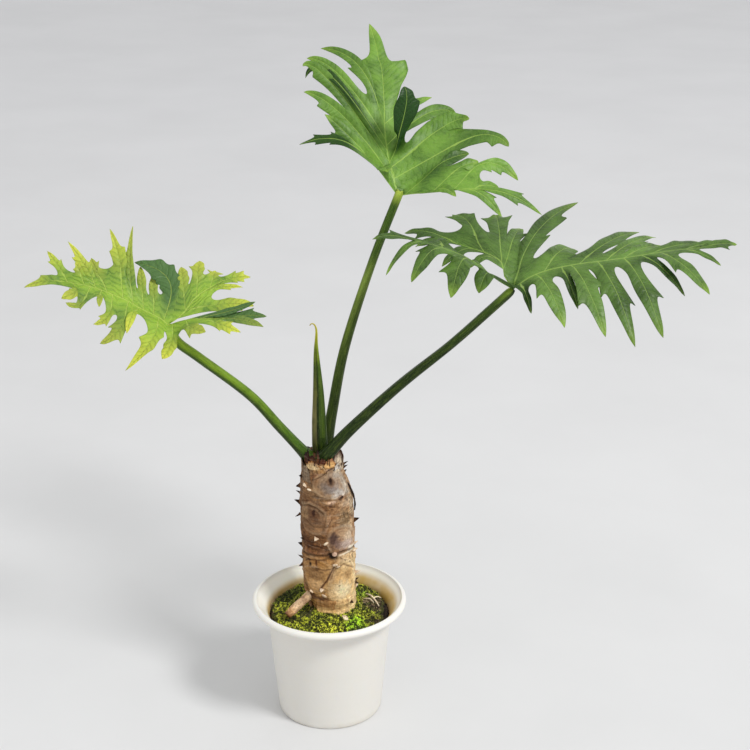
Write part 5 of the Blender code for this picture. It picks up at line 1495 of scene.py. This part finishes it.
def makeScales():
    # closed, curved little hooks that lie close to the bark and lift at the tip
    dice = random.Random(21)
    spots = list(barkScales)
    for i in range(30):
        spots.append((105 + (i * 47) % 150, 178 + i * 6.4, dice.uniform(4.5, 7), dice.uniform(1.8, 2.6),
                      dice.random()))
    verts, faces, tints = [], [], []
    sides = 8
    wood, gloom = Vector((0.16, 0.075, 0.032)), Vector((0.022, 0.011, 0.006))
    cream, rust = Vector((0.88, 0.73, 0.54)), Vector((0.42, 0.2, 0.09))
    roots = trunkPlaces([(spot[0], spot[1], -0.9) for spot in spots])
    for root, (front, _, length, wide, light) in zip(roots, spots):
        out = Vector((math.cos(math.radians(front - 90)), math.sin(math.radians(front - 90)), 0))
        around = Vector((-out.y, out.x, 0))
        lean = dice.uniform(-0.8, 0.8)
        up = (Vector((0, 0, 1)) * math.cos(lean) + around * math.sin(lean)) * dice.choice((1, 1, -1))
        length, wide = length * 1.35, wide * (2.0 if light > 0.5 else 1.8)
        first = len(verts)
        side = up.cross(out).normalized()
        shares = (0.0, 0.25, 0.5, 0.75, 0.93)
        for share in shares:
            centre = root + (up * 0.45 * share * length + out * (0.9 + share ** 1.3 * 0.75 * length)) * mm
            reach = wide * (1 - share) ** 0.7
            for k in range(sides):
                turn = math.tau * k / sides
                flat = side * math.cos(turn) + (up * 0.5 - out * 0.35) * math.sin(turn) * 0.75
                verts.append(centre + flat * reach * mm * dice.uniform(0.85, 1.1))
        verts.append(root + (up * 0.5 * length + out * (0.9 + 0.8 * length)) * mm)
        body = [[first + r * sides + k for k in range(sides)] for r in range(len(shares))]
        faces.append(tuple(body[0]))
        for low, high in zip(body, body[1:]):
            faces += [(low[k], high[k], high[(k + 1) % sides], low[(k + 1) % sides]) for k in range(sides)]
        faces += [(body[-1][k], len(verts) - 1, body[-1][(k + 1) % sides]) for k in range(sides)]
        for share in [s for s in shares for k in range(sides)] + [1.0]:
            pale = rust.lerp(cream, min(1.0, 0.35 + 1.6 * share))
            tints.append(pale if light > 0.5 else wood.lerp(gloom, min(1.0, 1.5 * share)))
    mesh = newMesh("barkScales", verts, faces)
    tidy = bmesh.new()
    tidy.from_mesh(mesh)
    bmesh.ops.recalc_face_normals(tidy, faces=tidy.faces)
    tidy.to_mesh(mesh)
    tidy.free()
    storeColours(mesh, "tint", [tuple(tint) for tint in tints])
    storeFloats(mesh, "smooth", [0.6] * len(verts))
    addPiece("barkScales", mesh, bark)


makeScales()


# knob, prop root and aerial root

def rootPiece(name, points, radii, sides, rows, tints, seed, knobbly=0.12):
    # a wrinkled tube with its colours along it
    line = smoothCurve(points, rows)
    shares = np.linspace(0, 1, rows)
    widths = np.interp(shares, np.linspace(0, 1, len(radii)), radii)
    grid = tubeRows(line, widths, sides)
    flat = [p for row in grid for p in row]
    bumps = roughness(flat, 420.0, seed)
    rings = roughness([Vector((0, 0, s)) for s in shares], 26.0, seed)
    centres = [c for c in line for k in range(sides)]
    moved = [c + (p - c) * float(1 + knobbly * bumps[i] + knobbly * rings[i // sides])
             for i, (p, c) in enumerate(zip(flat, centres))]
    mesh = skinMesh(name, [moved[i * sides:(i + 1) * sides] for i in range(rows)])
    table = [(k / (len(tints) - 1), tint) for k, tint in enumerate(tints)]
    tint = alongColours(table, np.repeat(shares, sides)) * (1 + 0.35 * bumps)[:, None]
    storeColours(mesh, "tint", np.clip(tint, 0.004, 0.95))
    storeFloats(mesh, "smooth", [0.3] * len(mesh.vertices))
    return addPiece(name, mesh, bark)


rootPiece("propRoot", [(-0.018, -0.013, 0.1865), (-0.028, -0.02, 0.1785), (-0.04, -0.028, 0.1698),
                       (-0.0555, -0.0385, 0.1592)],
          [0.005, 0.006, 0.0057, 0.0061, 0.006, 0.005], 24, 46,
          [(0.06, 0.03, 0.015), (0.86, 0.68, 0.46), (0.62, 0.42, 0.25), (0.44, 0.28, 0.17),
           (0.66, 0.46, 0.28),
           (0.74, 0.54, 0.34), (0.64, 0.38, 0.18), (0.14, 0.05, 0.02)], 4.0, 0.08)
rootPiece("rootKnob", trunkPlaces([(15, 249.5, -3.0), (15, 249.5, 1.4), (15, 249.5, 3.4)]),
          [0.0034, 0.0035, 0.0036, 0.0026], 20, 16,
          [(0.02, 0.01, 0.01), (0.03, 0.015, 0.01), (0.36, 0.21, 0.14), (0.66, 0.45, 0.33)], 2.0, 0.08)
rootPiece("aerialRoot", [(0.0215, -0.006, 0.3462), (0.0275, -0.007, 0.339), (0.033, -0.007, 0.326),
                         (0.0358, -0.007, 0.313), (0.0352, -0.006, 0.301)],
          [0.0007, 0.0015, 0.0013, 0.0016, 0.001, 0.0013, 0.0007], 12, 40,
          [(0.02, 0.012, 0.01), (0.03, 0.018, 0.012), (0.014, 0.01, 0.008)], 6.0, 0.2)


# torn sheaths round the crown and the fibrous skirt at the foot

# degrees from and to round the front, where they start and end in mm, lift at the end in mm, colours there
barkFlaps = [
    (-68, -34, 348, 372, 1.2, (0.3, 0.215, 0.14), (0.34, 0.26, 0.18)),
    (-48, 0, 367, 381, 2.6, (0.98, 0.72, 0.38), (0.5, 0.22, 0.07)),
    (-12, 14, 364, 375, 1.6, (0.6, 0.34, 0.14), (0.85, 0.62, 0.34)),
    (8, 44, 370, 384, 2.4, (0.9, 0.54, 0.21), (0.42, 0.15, 0.05)),
    (38, 74, 362, 392, 2.4, (0.82, 0.68, 0.5), (0.07, 0.03, 0.02)),
    (36, 58, 365, 376, 2.8, (0.66, 0.6, 0.54), (0.72, 0.66, 0.58)),
    (70, 108, 360, 378, 2.2, (0.5, 0.4, 0.28), (0.08, 0.04, 0.03)),
    (-104, -58, 360, 383, 2.6, (0.28, 0.18, 0.11), (0.03, 0.02, 0.01)),
    (95, 150, 356, 381, 2.4, (0.42, 0.3, 0.18), (0.12, 0.05, 0.03)),
    (145, 200, 358, 378, 2.2, (0.4, 0.27, 0.15), (0.1, 0.04, 0.02)),
    (195, 258, 356, 382, 2.4, (0.36, 0.26, 0.16), (0.08, 0.04, 0.02)),
    (-62, -38, 374, 390, 0.8, (0.1, 0.035, 0.02), (0.02, 0.01, 0.01)),
    (-44, -37, 376, 396, 1.8, (0.1, 0.03, 0.02), (0.02, 0.01, 0.01)),
    (-38, -12, 375, 388, 1.2, (0.2, 0.07, 0.03), (0.04, 0.015, 0.01)),
    (-20, -13, 371, 383, 3.0, (0.12, 0.03, 0.02), (0.03, 0.01, 0.01)),
    (-14, -5, 375, 397, 0.8, (0.14, 0.05, 0.02), (0.02, 0.01, 0.01)),
    (-8, 18, 376, 386, 1.4, (0.15, 0.045, 0.02), (0.08, 0.03, 0.015)),
    (16, 23, 372, 386, 3.0, (0.14, 0.05, 0.02), (0.05, 0.02, 0.01)),
    (28, 44, 376, 388, 1.0, (0.14, 0.05, 0.02), (0.04, 0.02, 0.01)),
    (-36, 14, 179, 160, 4.5, (0.46, 0.25, 0.1), (0.84, 0.56, 0.24)),
    (2, 50, 177, 158, 5.5, (0.74, 0.5, 0.24), (0.96, 0.7, 0.34)),
    (38, 92, 178, 158, 4.5, (0.94, 0.7, 0.38), (0.98, 0.76, 0.36)),
    (84, 140, 176, 160, 4.0, (0.6, 0.4, 0.19), (0.52, 0.32, 0.14)),
    (150, 215, 177, 160, 4.0, (0.46, 0.29, 0.14), (0.42, 0.25, 0.11)),
    (-96, -62, 174, 160, 3.0, (0.2, 0.1, 0.05), (0.3, 0.17, 0.08))]


def makeSheaths():
    dice = random.Random(17)
    verts, faces, tints = [], [], []
    columns, rows = 22, 12
    for start, stop, foot, top, lift, tint, tipTint in barkFlaps:
        first = len(verts)
        ragged = [dice.uniform(-2.2, 1.4) * (1.0 if top > foot else 0.3) for c in range(columns + 1)]
        for layer in (0.0, 0.7):
            for r in range(rows + 1):
                up = r / rows
                for c in range(columns + 1):
                    share = c / columns
                    drop = 9.0 * abs(2 * share - 0.9) ** 2.2 if top > foot else 1.5 * abs(2 * share - 1)
                    crest = top - drop + ragged[c]
                    height = foot + (crest - foot) * up
                    front = start + (stop - start) * (share + 0.05 * math.sin(up * 5 + start))
                    wave = 0.35 * math.sin(share * 15 + start) * up
                    out = 0.2 + layer + lift * up ** 1.6 + wave
                    edge = min(share, 1 - share) * 2
                    out -= 0.9 * (1 - min(1.0, edge * 6)) + 0.9 * (1 - min(1.0, up * 6))
                    verts.append((front, height, out))
                    tip = min(1.0, max(0.0, (up - 0.55 + 0.08 * ragged[c]) / 0.35))
                    deep = 0.2 if top > foot else 0.06
                    streak = deep * (1 - math.sin(share * 17 + start + ragged[c]))
                    shade = 1 - streak - 2.5 * deep * max(0.0, 1 - edge * 7)
                    tints.append(tuple(Vector(tint).lerp(Vector(tipTint), tip) * shade))
        wide = columns + 1
        size = (rows + 1) * wide

        def spot(layer, r, c):
            return first + layer * size + r * wide + c
        flap = []
        for r in range(rows):
            for c in range(columns):
                flap.append((spot(1, r, c), spot(1, r, c + 1), spot(1, r + 1, c + 1), spot(1, r + 1, c)))
                flap.append((spot(0, r, c), spot(0, r + 1, c), spot(0, r + 1, c + 1), spot(0, r, c + 1)))
        rim = [(0, c) for c in range(columns)] + [(r, columns) for r in range(rows)]
        rim += [(rows, c) for c in range(columns, 0, -1)] + [(r, 0) for r in range(rows, 0, -1)]
        for (r, c), (s, d) in zip(rim, rim[1:] + rim[:1]):
            flap.append((spot(0, r, c), spot(0, s, d), spot(1, s, d), spot(1, r, c)))
        # a flap that runs downwards is wound the other way
        faces += flap if top > foot else [face[::-1] for face in flap]
    mesh = newMesh("crownSheaths", trunkPlaces(verts), faces)
    storeColours(mesh, "tint", tints)
    addPiece("crownSheaths", mesh, barkMaterial("tornSheath", dict(barkLooks, fibres=0.3)))


makeSheaths()
print("crown made")


# stalks and the rolled new leaf

# centre line in metres from inside the crown up to the blade, radius at the crown and at the blade,
# and the colours of its upper and lower side along the way
stalks = {
    "stalkLeft": {
        "node": "petiole_left", "upper": 0.0, "radii": (0.007, 0.0062), "flare": 0.55,
        "line": [(-0.0215, -0.002, 0.3735), (-0.0275, -0.003, 0.3803), (-0.061, -0.008, 0.422),
                 (-0.099, -0.012, 0.469),
                 (-0.161, -0.015, 0.521), (-0.188, -0.015, 0.543), (-0.1994, -0.015, 0.5657)],
        "top": [(0.0, (0.026, 0.06, 0.006)), (0.12, (0.055, 0.12, 0.01)), (0.5, (0.14, 0.24, 0.014)),
                (0.9, (0.23, 0.36, 0.022)), (1.0, (0.35, 0.47, 0.04))],
        "below": [(0.0, (0.018, 0.034, 0.004)), (0.3, (0.02, 0.045, 0.005)), (0.8, (0.036, 0.08, 0.008)),
                  (1.0, (0.11, 0.19, 0.02))]},
    "stalkRight": {
        "node": "petiole_right", "upper": math.pi, "radii": (0.0084, 0.0056), "flare": 0.55,
        "line": [(-0.01, -0.01, 0.373), (-0.004, -0.0125, 0.3803), (0.03, -0.025, 0.4255),
                 (0.094, -0.042, 0.495),
                 (0.156, -0.058, 0.555), (0.203, -0.07, 0.605), (0.2302, -0.075, 0.6338)],
        "top": [(0.0, (0.012, 0.028, 0.003)), (0.2, (0.013, 0.03, 0.003)), (0.6, (0.014, 0.03, 0.003)),
                (0.92, (0.04, 0.08, 0.008)), (1.0, (0.2, 0.31, 0.035))],
        "below": [(0.0, (0.009, 0.02, 0.003)), (0.5, (0.01, 0.024, 0.003)), (1.0, (0.018, 0.04, 0.005))]},
    "stalkTop": {
        "node": "petiole_top", "upper": math.pi, "radii": (0.0078, 0.0058), "flare": 0.4,
        "line": [(-0.004, 0.0155, 0.3735), (-0.003, 0.0175, 0.3803), (0.006, 0.036, 0.43),
                 (0.023, 0.06, 0.51),
                 (0.0585, 0.095, 0.614), (0.0926, 0.12, 0.6973), (0.0942, 0.1212, 0.7012)],
        "top": [(0.0, (0.018, 0.036, 0.004)), (0.35, (0.045, 0.075, 0.009)), (0.5, (0.11, 0.16, 0.022)),
                (0.64, (0.17, 0.24, 0.04)), (0.74, (0.04, 0.08, 0.008)), (0.93, (0.045, 0.095, 0.008)),
                (0.97, (0.33, 0.43, 0.06)), (1.0, (0.48, 0.56, 0.09))],
        "below": [(0.0, (0.012, 0.024, 0.003)), (0.5, (0.03, 0.055, 0.006)), (0.66, (0.08, 0.12, 0.016)),
                  (0.76, (0.022, 0.05, 0.005)), (0.93, (0.024, 0.06, 0.005)), (0.97, (0.26, 0.36, 0.04)),
                  (1.0, (0.4, 0.5, 0.07))]},
}


def stalkMaterial(name, rough):
    mat, tree, shader = newMaterial(name)
    uv = addNode(tree, "ShaderNodeUVMap", uv_map="skin").outputs["UV"]
    tint = attribute(tree, "tint", "Color")
    place = objectPlace(tree)
    fibre = noiseNode(tree, stretched(tree, uv, (0.9, 0.035, 1.0)), 1.0, 4.0, 0.6)
    blotch = noiseNode(tree, place, 60.0, 3.0)
    spots = useGroup(tree, speckle, Vector=place, Size=1100.0, Amount=0.6)
    colour = mixColour(tree, mapRange(tree, fibre, 0.5, 0.72, 0.0, 0.3), tint, (0.22, 0.3, 0.03), "SCREEN")
    colour = mixColour(tree, mapRange(tree, fibre, 0.48, 0.3, 0.0, 0.6), colour, (0.3, 0.36, 0.3), "MULTIPLY")
    dull = mapRange(tree, blotch, 0.55, 0.7, 0.0, 0.55)
    colour = mixColour(tree, dull, colour, (0.42, 0.52, 0.4), "MULTIPLY")
    colour = mixColour(tree, times(tree, spots.outputs["Spots"], 0.3), colour, (0.4, 0.48, 0.2))
    link(tree, colour, shader.inputs["Base Color"])
    link(tree, mapRange(tree, blotch, 0.3, 0.7, rough - 0.05, rough + 0.08), shader.inputs["Roughness"])
    bump(tree, shader, fibre, 0.35, 0.0008)
    lightInto(shader, 0.15, (0.0015, 0.003, 0.0006))
    shader.inputs["IOR"].default_value = 1.3
    shader.inputs["Specular IOR Level"].default_value = 0.3
    return mat


def makeStalks():
    skin = stalkMaterial("stalkSkin", 0.36)
    sides, rows = 32, 110
    for name, item in stalks.items():
        line = smoothCurve(item["line"], rows)
        shares = np.linspace(0, 1, rows)
        low, high = item["radii"]
        radii = low + (high - low) * np.minimum(1, 1.5 * shares)
        radii = radii * (1 + item["flare"] * np.exp(-shares / 0.055))
        radii[-4:] *= (1.0, 0.97, 0.88, 0.62)

        def groove(turn, share):
            away = (turn - item["upper"] + math.pi) % math.tau - math.pi
            deep = 0.1 + 0.18 * math.exp(-share / 0.1)
            ridge = 0.05 * math.exp(-((abs(away) - 0.75) / 0.22) ** 2)
            return 1 + ridge - deep * math.exp(-(away / 0.42) ** 2) + 0.015 * math.sin(turn * 7 + share * 4)
        grid = tubeRows(line, radii, sides, 1.0, groove)
        long = [s * 360 for s in shares]
        mesh = skinMesh(name, grid, long, 1.1)
        turns = np.tile(np.arange(sides) * math.tau / sides, rows)
        above = 0.5 + 0.5 * np.cos(turns - item["upper"])
        above = smoothStep(above, 0.3, 0.72)[:, None]
        run = np.repeat(shares, sides)
        storeColours(mesh, "tint", alongColours(item["top"], run) * above
                     + alongColours(item["below"], run) * (1 - above))
        addPiece(name, mesh, skin, item["node"])
    return skin


stalkSkin = makeStalks()

spearForm = {
    "line": [(-0.0095, 0.003, 0.3745), (-0.0095, 0.003, 0.3803), (-0.0105, 0.003, 0.425),
             (-0.0108, 0.0025, 0.47),
             (-0.0128, 0.001, 0.525), (-0.0122, -0.0015, 0.552), (-0.014, -0.002, 0.5605),
             (-0.0178, -0.002, 0.5632), (-0.0208, -0.002, 0.5605)],
    "widths": [(0.0, 0.0104), (0.1, 0.0108), (0.25, 0.01), (0.48, 0.0074), (0.72, 0.0041), (0.84, 0.0021),
               (0.92, 0.0014), (1.0, 0.0006)],
    "left": [(0.0, (0.026, 0.03, 0.005)), (0.1, (0.07, 0.066, 0.02)), (0.3, (0.17, 0.145, 0.055)),
             (0.48, (0.11, 0.105, 0.025)), (0.66, (0.04, 0.07, 0.007)), (0.8, (0.19, 0.24, 0.015)),
             (0.9, (0.52, 0.48, 0.022)), (1.0, (0.6, 0.43, 0.08))],
    "right": [(0.0, (0.012, 0.028, 0.003)), (0.12, (0.016, 0.036, 0.004)), (0.4, (0.026, 0.056, 0.005)),
              (0.66, (0.042, 0.088, 0.007)), (0.8, (0.27, 0.35, 0.02)), (0.9, (0.56, 0.54, 0.025)),
              (1.0, (0.6, 0.43, 0.08))]}


def makeSpear():
    # the leaf is rolled round itself: its free edge stands proud as a step that winds slowly upwards
    form = spearForm
    rows, sides = 130, 64
    line = smoothCurve(form["line"], rows)
    shares = np.linspace(0, 1, rows)
    radii = np.interp(shares, [w[0] for w in form["widths"]], [w[1] for w in form["widths"]])

    def edgeAt(share):
        return math.radians(246 + 16 * share)

    def roll(turn, share):
        behind = ((turn - edgeAt(share)) % math.tau) / math.tau
        step = 0.86 + 0.16 * behind
        return step + 0.02 * math.sin(3 * turn + share * 6)
    grid = tubeRows(line, radii, sides, 0.62, roll)
    mesh = skinMesh("rolledLeaf", grid, [s * 190 for s in shares], 0.8)
    tint = np.zeros((rows * sides, 3))
    for i, share in enumerate(shares):
        turns = np.arange(sides) * math.tau / sides
        behind = ((turns - edgeAt(share)) % math.tau) / math.tau
        leftness = smoothStep(behind, 0.7, 0.82)[:, None]
        streak = (0.35 * gaussian(behind - 0.14, 0.05) * (0.15 < share < 0.75))[:, None]
        # painted shadow: a dark band just past the free edge, under the step it makes
        dark = (0.75 * gaussian(behind - 0.02, 0.03))[:, None]
        base = alongColours(form["right"], np.full(sides, share)) * (1 - leftness)
        base = base + alongColours(form["left"], np.full(sides, share)) * leftness
        tint[i * sides:(i + 1) * sides] = (base + streak * np.array([0.1, 0.15, 0.02])) * (1 - dark)
    storeColours(mesh, "tint", tint)
    addPiece("rolledLeaf", mesh, stalkSkin, "new_leaf_spear")


makeSpear()
print("stalks made")


# rootlets and a chip on the moss

debris = {"twigColour": (0.86, 0.74, 0.54), "chipColour": (0.93, 0.8, 0.56), "rows": 24,
          "chipPlace": (0.0225, -0.043, 0.1583), "chipRun": (0.007, -0.0114, -0.0016)}


def makeDebris():
    straw = barkMaterial("paleTwig", barkLooks, (300.0, 300.0, 300.0))
    twigs = [([(0.05, 0.026, 0.156), (0.057, 0.019, 0.1568), (0.063, 0.009, 0.155), (0.068, -0.002, 0.1525)],
              [0.0009, 0.0013, 0.0012, 0.0007]),
             ([(0.06, 0.014, 0.156), (0.066, 0.018, 0.156), (0.071, 0.018, 0.154)], [0.0011, 0.0009, 0.0004]),
             ([(0.047, 0.012, 0.156), (0.055, 0.01, 0.1572),
               (0.061, 0.004, 0.1545)], [0.0006, 0.001, 0.0005])]
    for i, (points, radii) in enumerate(twigs):
        line = smoothCurve(points, debris["rows"])
        widths = np.interp(np.linspace(0, 1, debris["rows"]), np.linspace(0, 1, len(radii)), radii)
        mesh = skinMesh(f"twig{i}", tubeRows(line, widths * (1 + 0.12 * roughness(line, 500.0, i)), 14))
        storeColours(mesh, "tint", [debris["twigColour"]] * len(mesh.vertices))
        addPiece(f"twig{i}", mesh, straw)
    rows = []
    for share in np.linspace(0.05, 0.95, 14):
        reach = math.sin(math.pi * share) ** 0.6
        centre = Vector(debris["chipPlace"]) + Vector(debris["chipRun"]) * (share - 0.5)
        rows.append([centre + Vector((0.0028 * math.cos(t), 0.002 * math.cos(t), 0.0013 * math.sin(t)))
                     * reach * (1 + 0.15 * math.sin(3 * t + share * 4))
                     for t in np.linspace(0, math.tau, 20, endpoint=False)])
    mesh = skinMesh("paleChip", rows)
    storeColours(mesh, "tint", [debris["chipColour"]] * len(mesh.vertices))
    addPiece("paleChip", mesh, straw)


makeDebris()


# floor, light and camera

studio = {"floor": (0.71, 0.71, 0.71), "farFloor": (0.71, 0.71, 0.72), "world": (0.99, 0.995, 1.0),
          "worldPower": 0.72, "keyPower": 440.0, "keyPlace": (4.6, -3.6, 6.8), "keySize": 2.0,
          "fillPower": 5.0, "fillPlace": (-2.0, -1.5, 1.6), "fillSize": 2.0, "lampTarget": (0.05, 0, 0.35),
          "floorReach": 20, "camera": (0.0625, -1.92, 1.254), "dip": 21.65,
          "focalPixels": 1600, "pictureWidth": 750, "sensor": 36.0}


def aim(obj, target):
    obj.rotation_euler = (Vector(target) - obj.location).to_track_quat("-Z", "Y").to_euler()


def makeStudio():
    mesh = bpy.data.meshes.new("studioFloor")
    far = studio["floorReach"]
    mesh.from_pydata([(-far, -far, 0), (far, -far, 0), (far, far, 0), (-far, far, 0)], [], [(0, 1, 2, 3)])
    floor = newObject("studioFloor", mesh)
    mat, tree, shader = newMaterial("paleFloor")
    mottle = noiseNode(tree, objectPlace(tree), 2.2, 5.0)
    parts = addNode(tree, "ShaderNodeSeparateXYZ")
    link(tree, objectPlace(tree), parts.inputs[0])
    tint = mixColour(tree, mapRange(tree, parts.outputs[1], 0.4, 4.0), studio["floor"], studio["farFloor"])
    worn = mapRange(tree, mottle, 0.35, 0.65, 0.0, 0.35)
    tint = mixColour(tree, worn, tint, (0.88, 0.88, 0.88), "MULTIPLY")
    link(tree, tint, shader.inputs["Base Color"])
    shader.inputs["Roughness"].default_value = 0.6
    mesh.materials.append(mat)

    for kind in ("key", "fill"):
        lamp = bpy.data.lights.new(kind + "Light", "AREA")
        lamp.energy, lamp.size = studio[kind + "Power"], studio[kind + "Size"]
        obj = newObject(kind + "Light", lamp)
        obj.location = studio[kind + "Place"]
        aim(obj, studio["lampTarget"])

    world = bpy.data.worlds.new("studioWorld")
    world.use_nodes = True
    back = world.node_tree.nodes["Background"]
    back.inputs["Color"].default_value = (*studio["world"], 1)
    back.inputs["Strength"].default_value = studio["worldPower"]
    bpy.context.scene.world = world

    camData = bpy.data.cameras.new("photoCamera")
    camData.sensor_width = studio["sensor"]
    camData.lens = studio["sensor"] * studio["focalPixels"] / studio["pictureWidth"]
    cam = newObject("photoCamera", camData)
    cam.location = studio["camera"]
    cam.rotation_euler = (math.radians(90 - studio["dip"]), 0, 0)
    bpy.context.scene.camera = cam
    bpy.context.scene.view_settings.view_transform = "Standard"


makeStudio()
print("studio made")
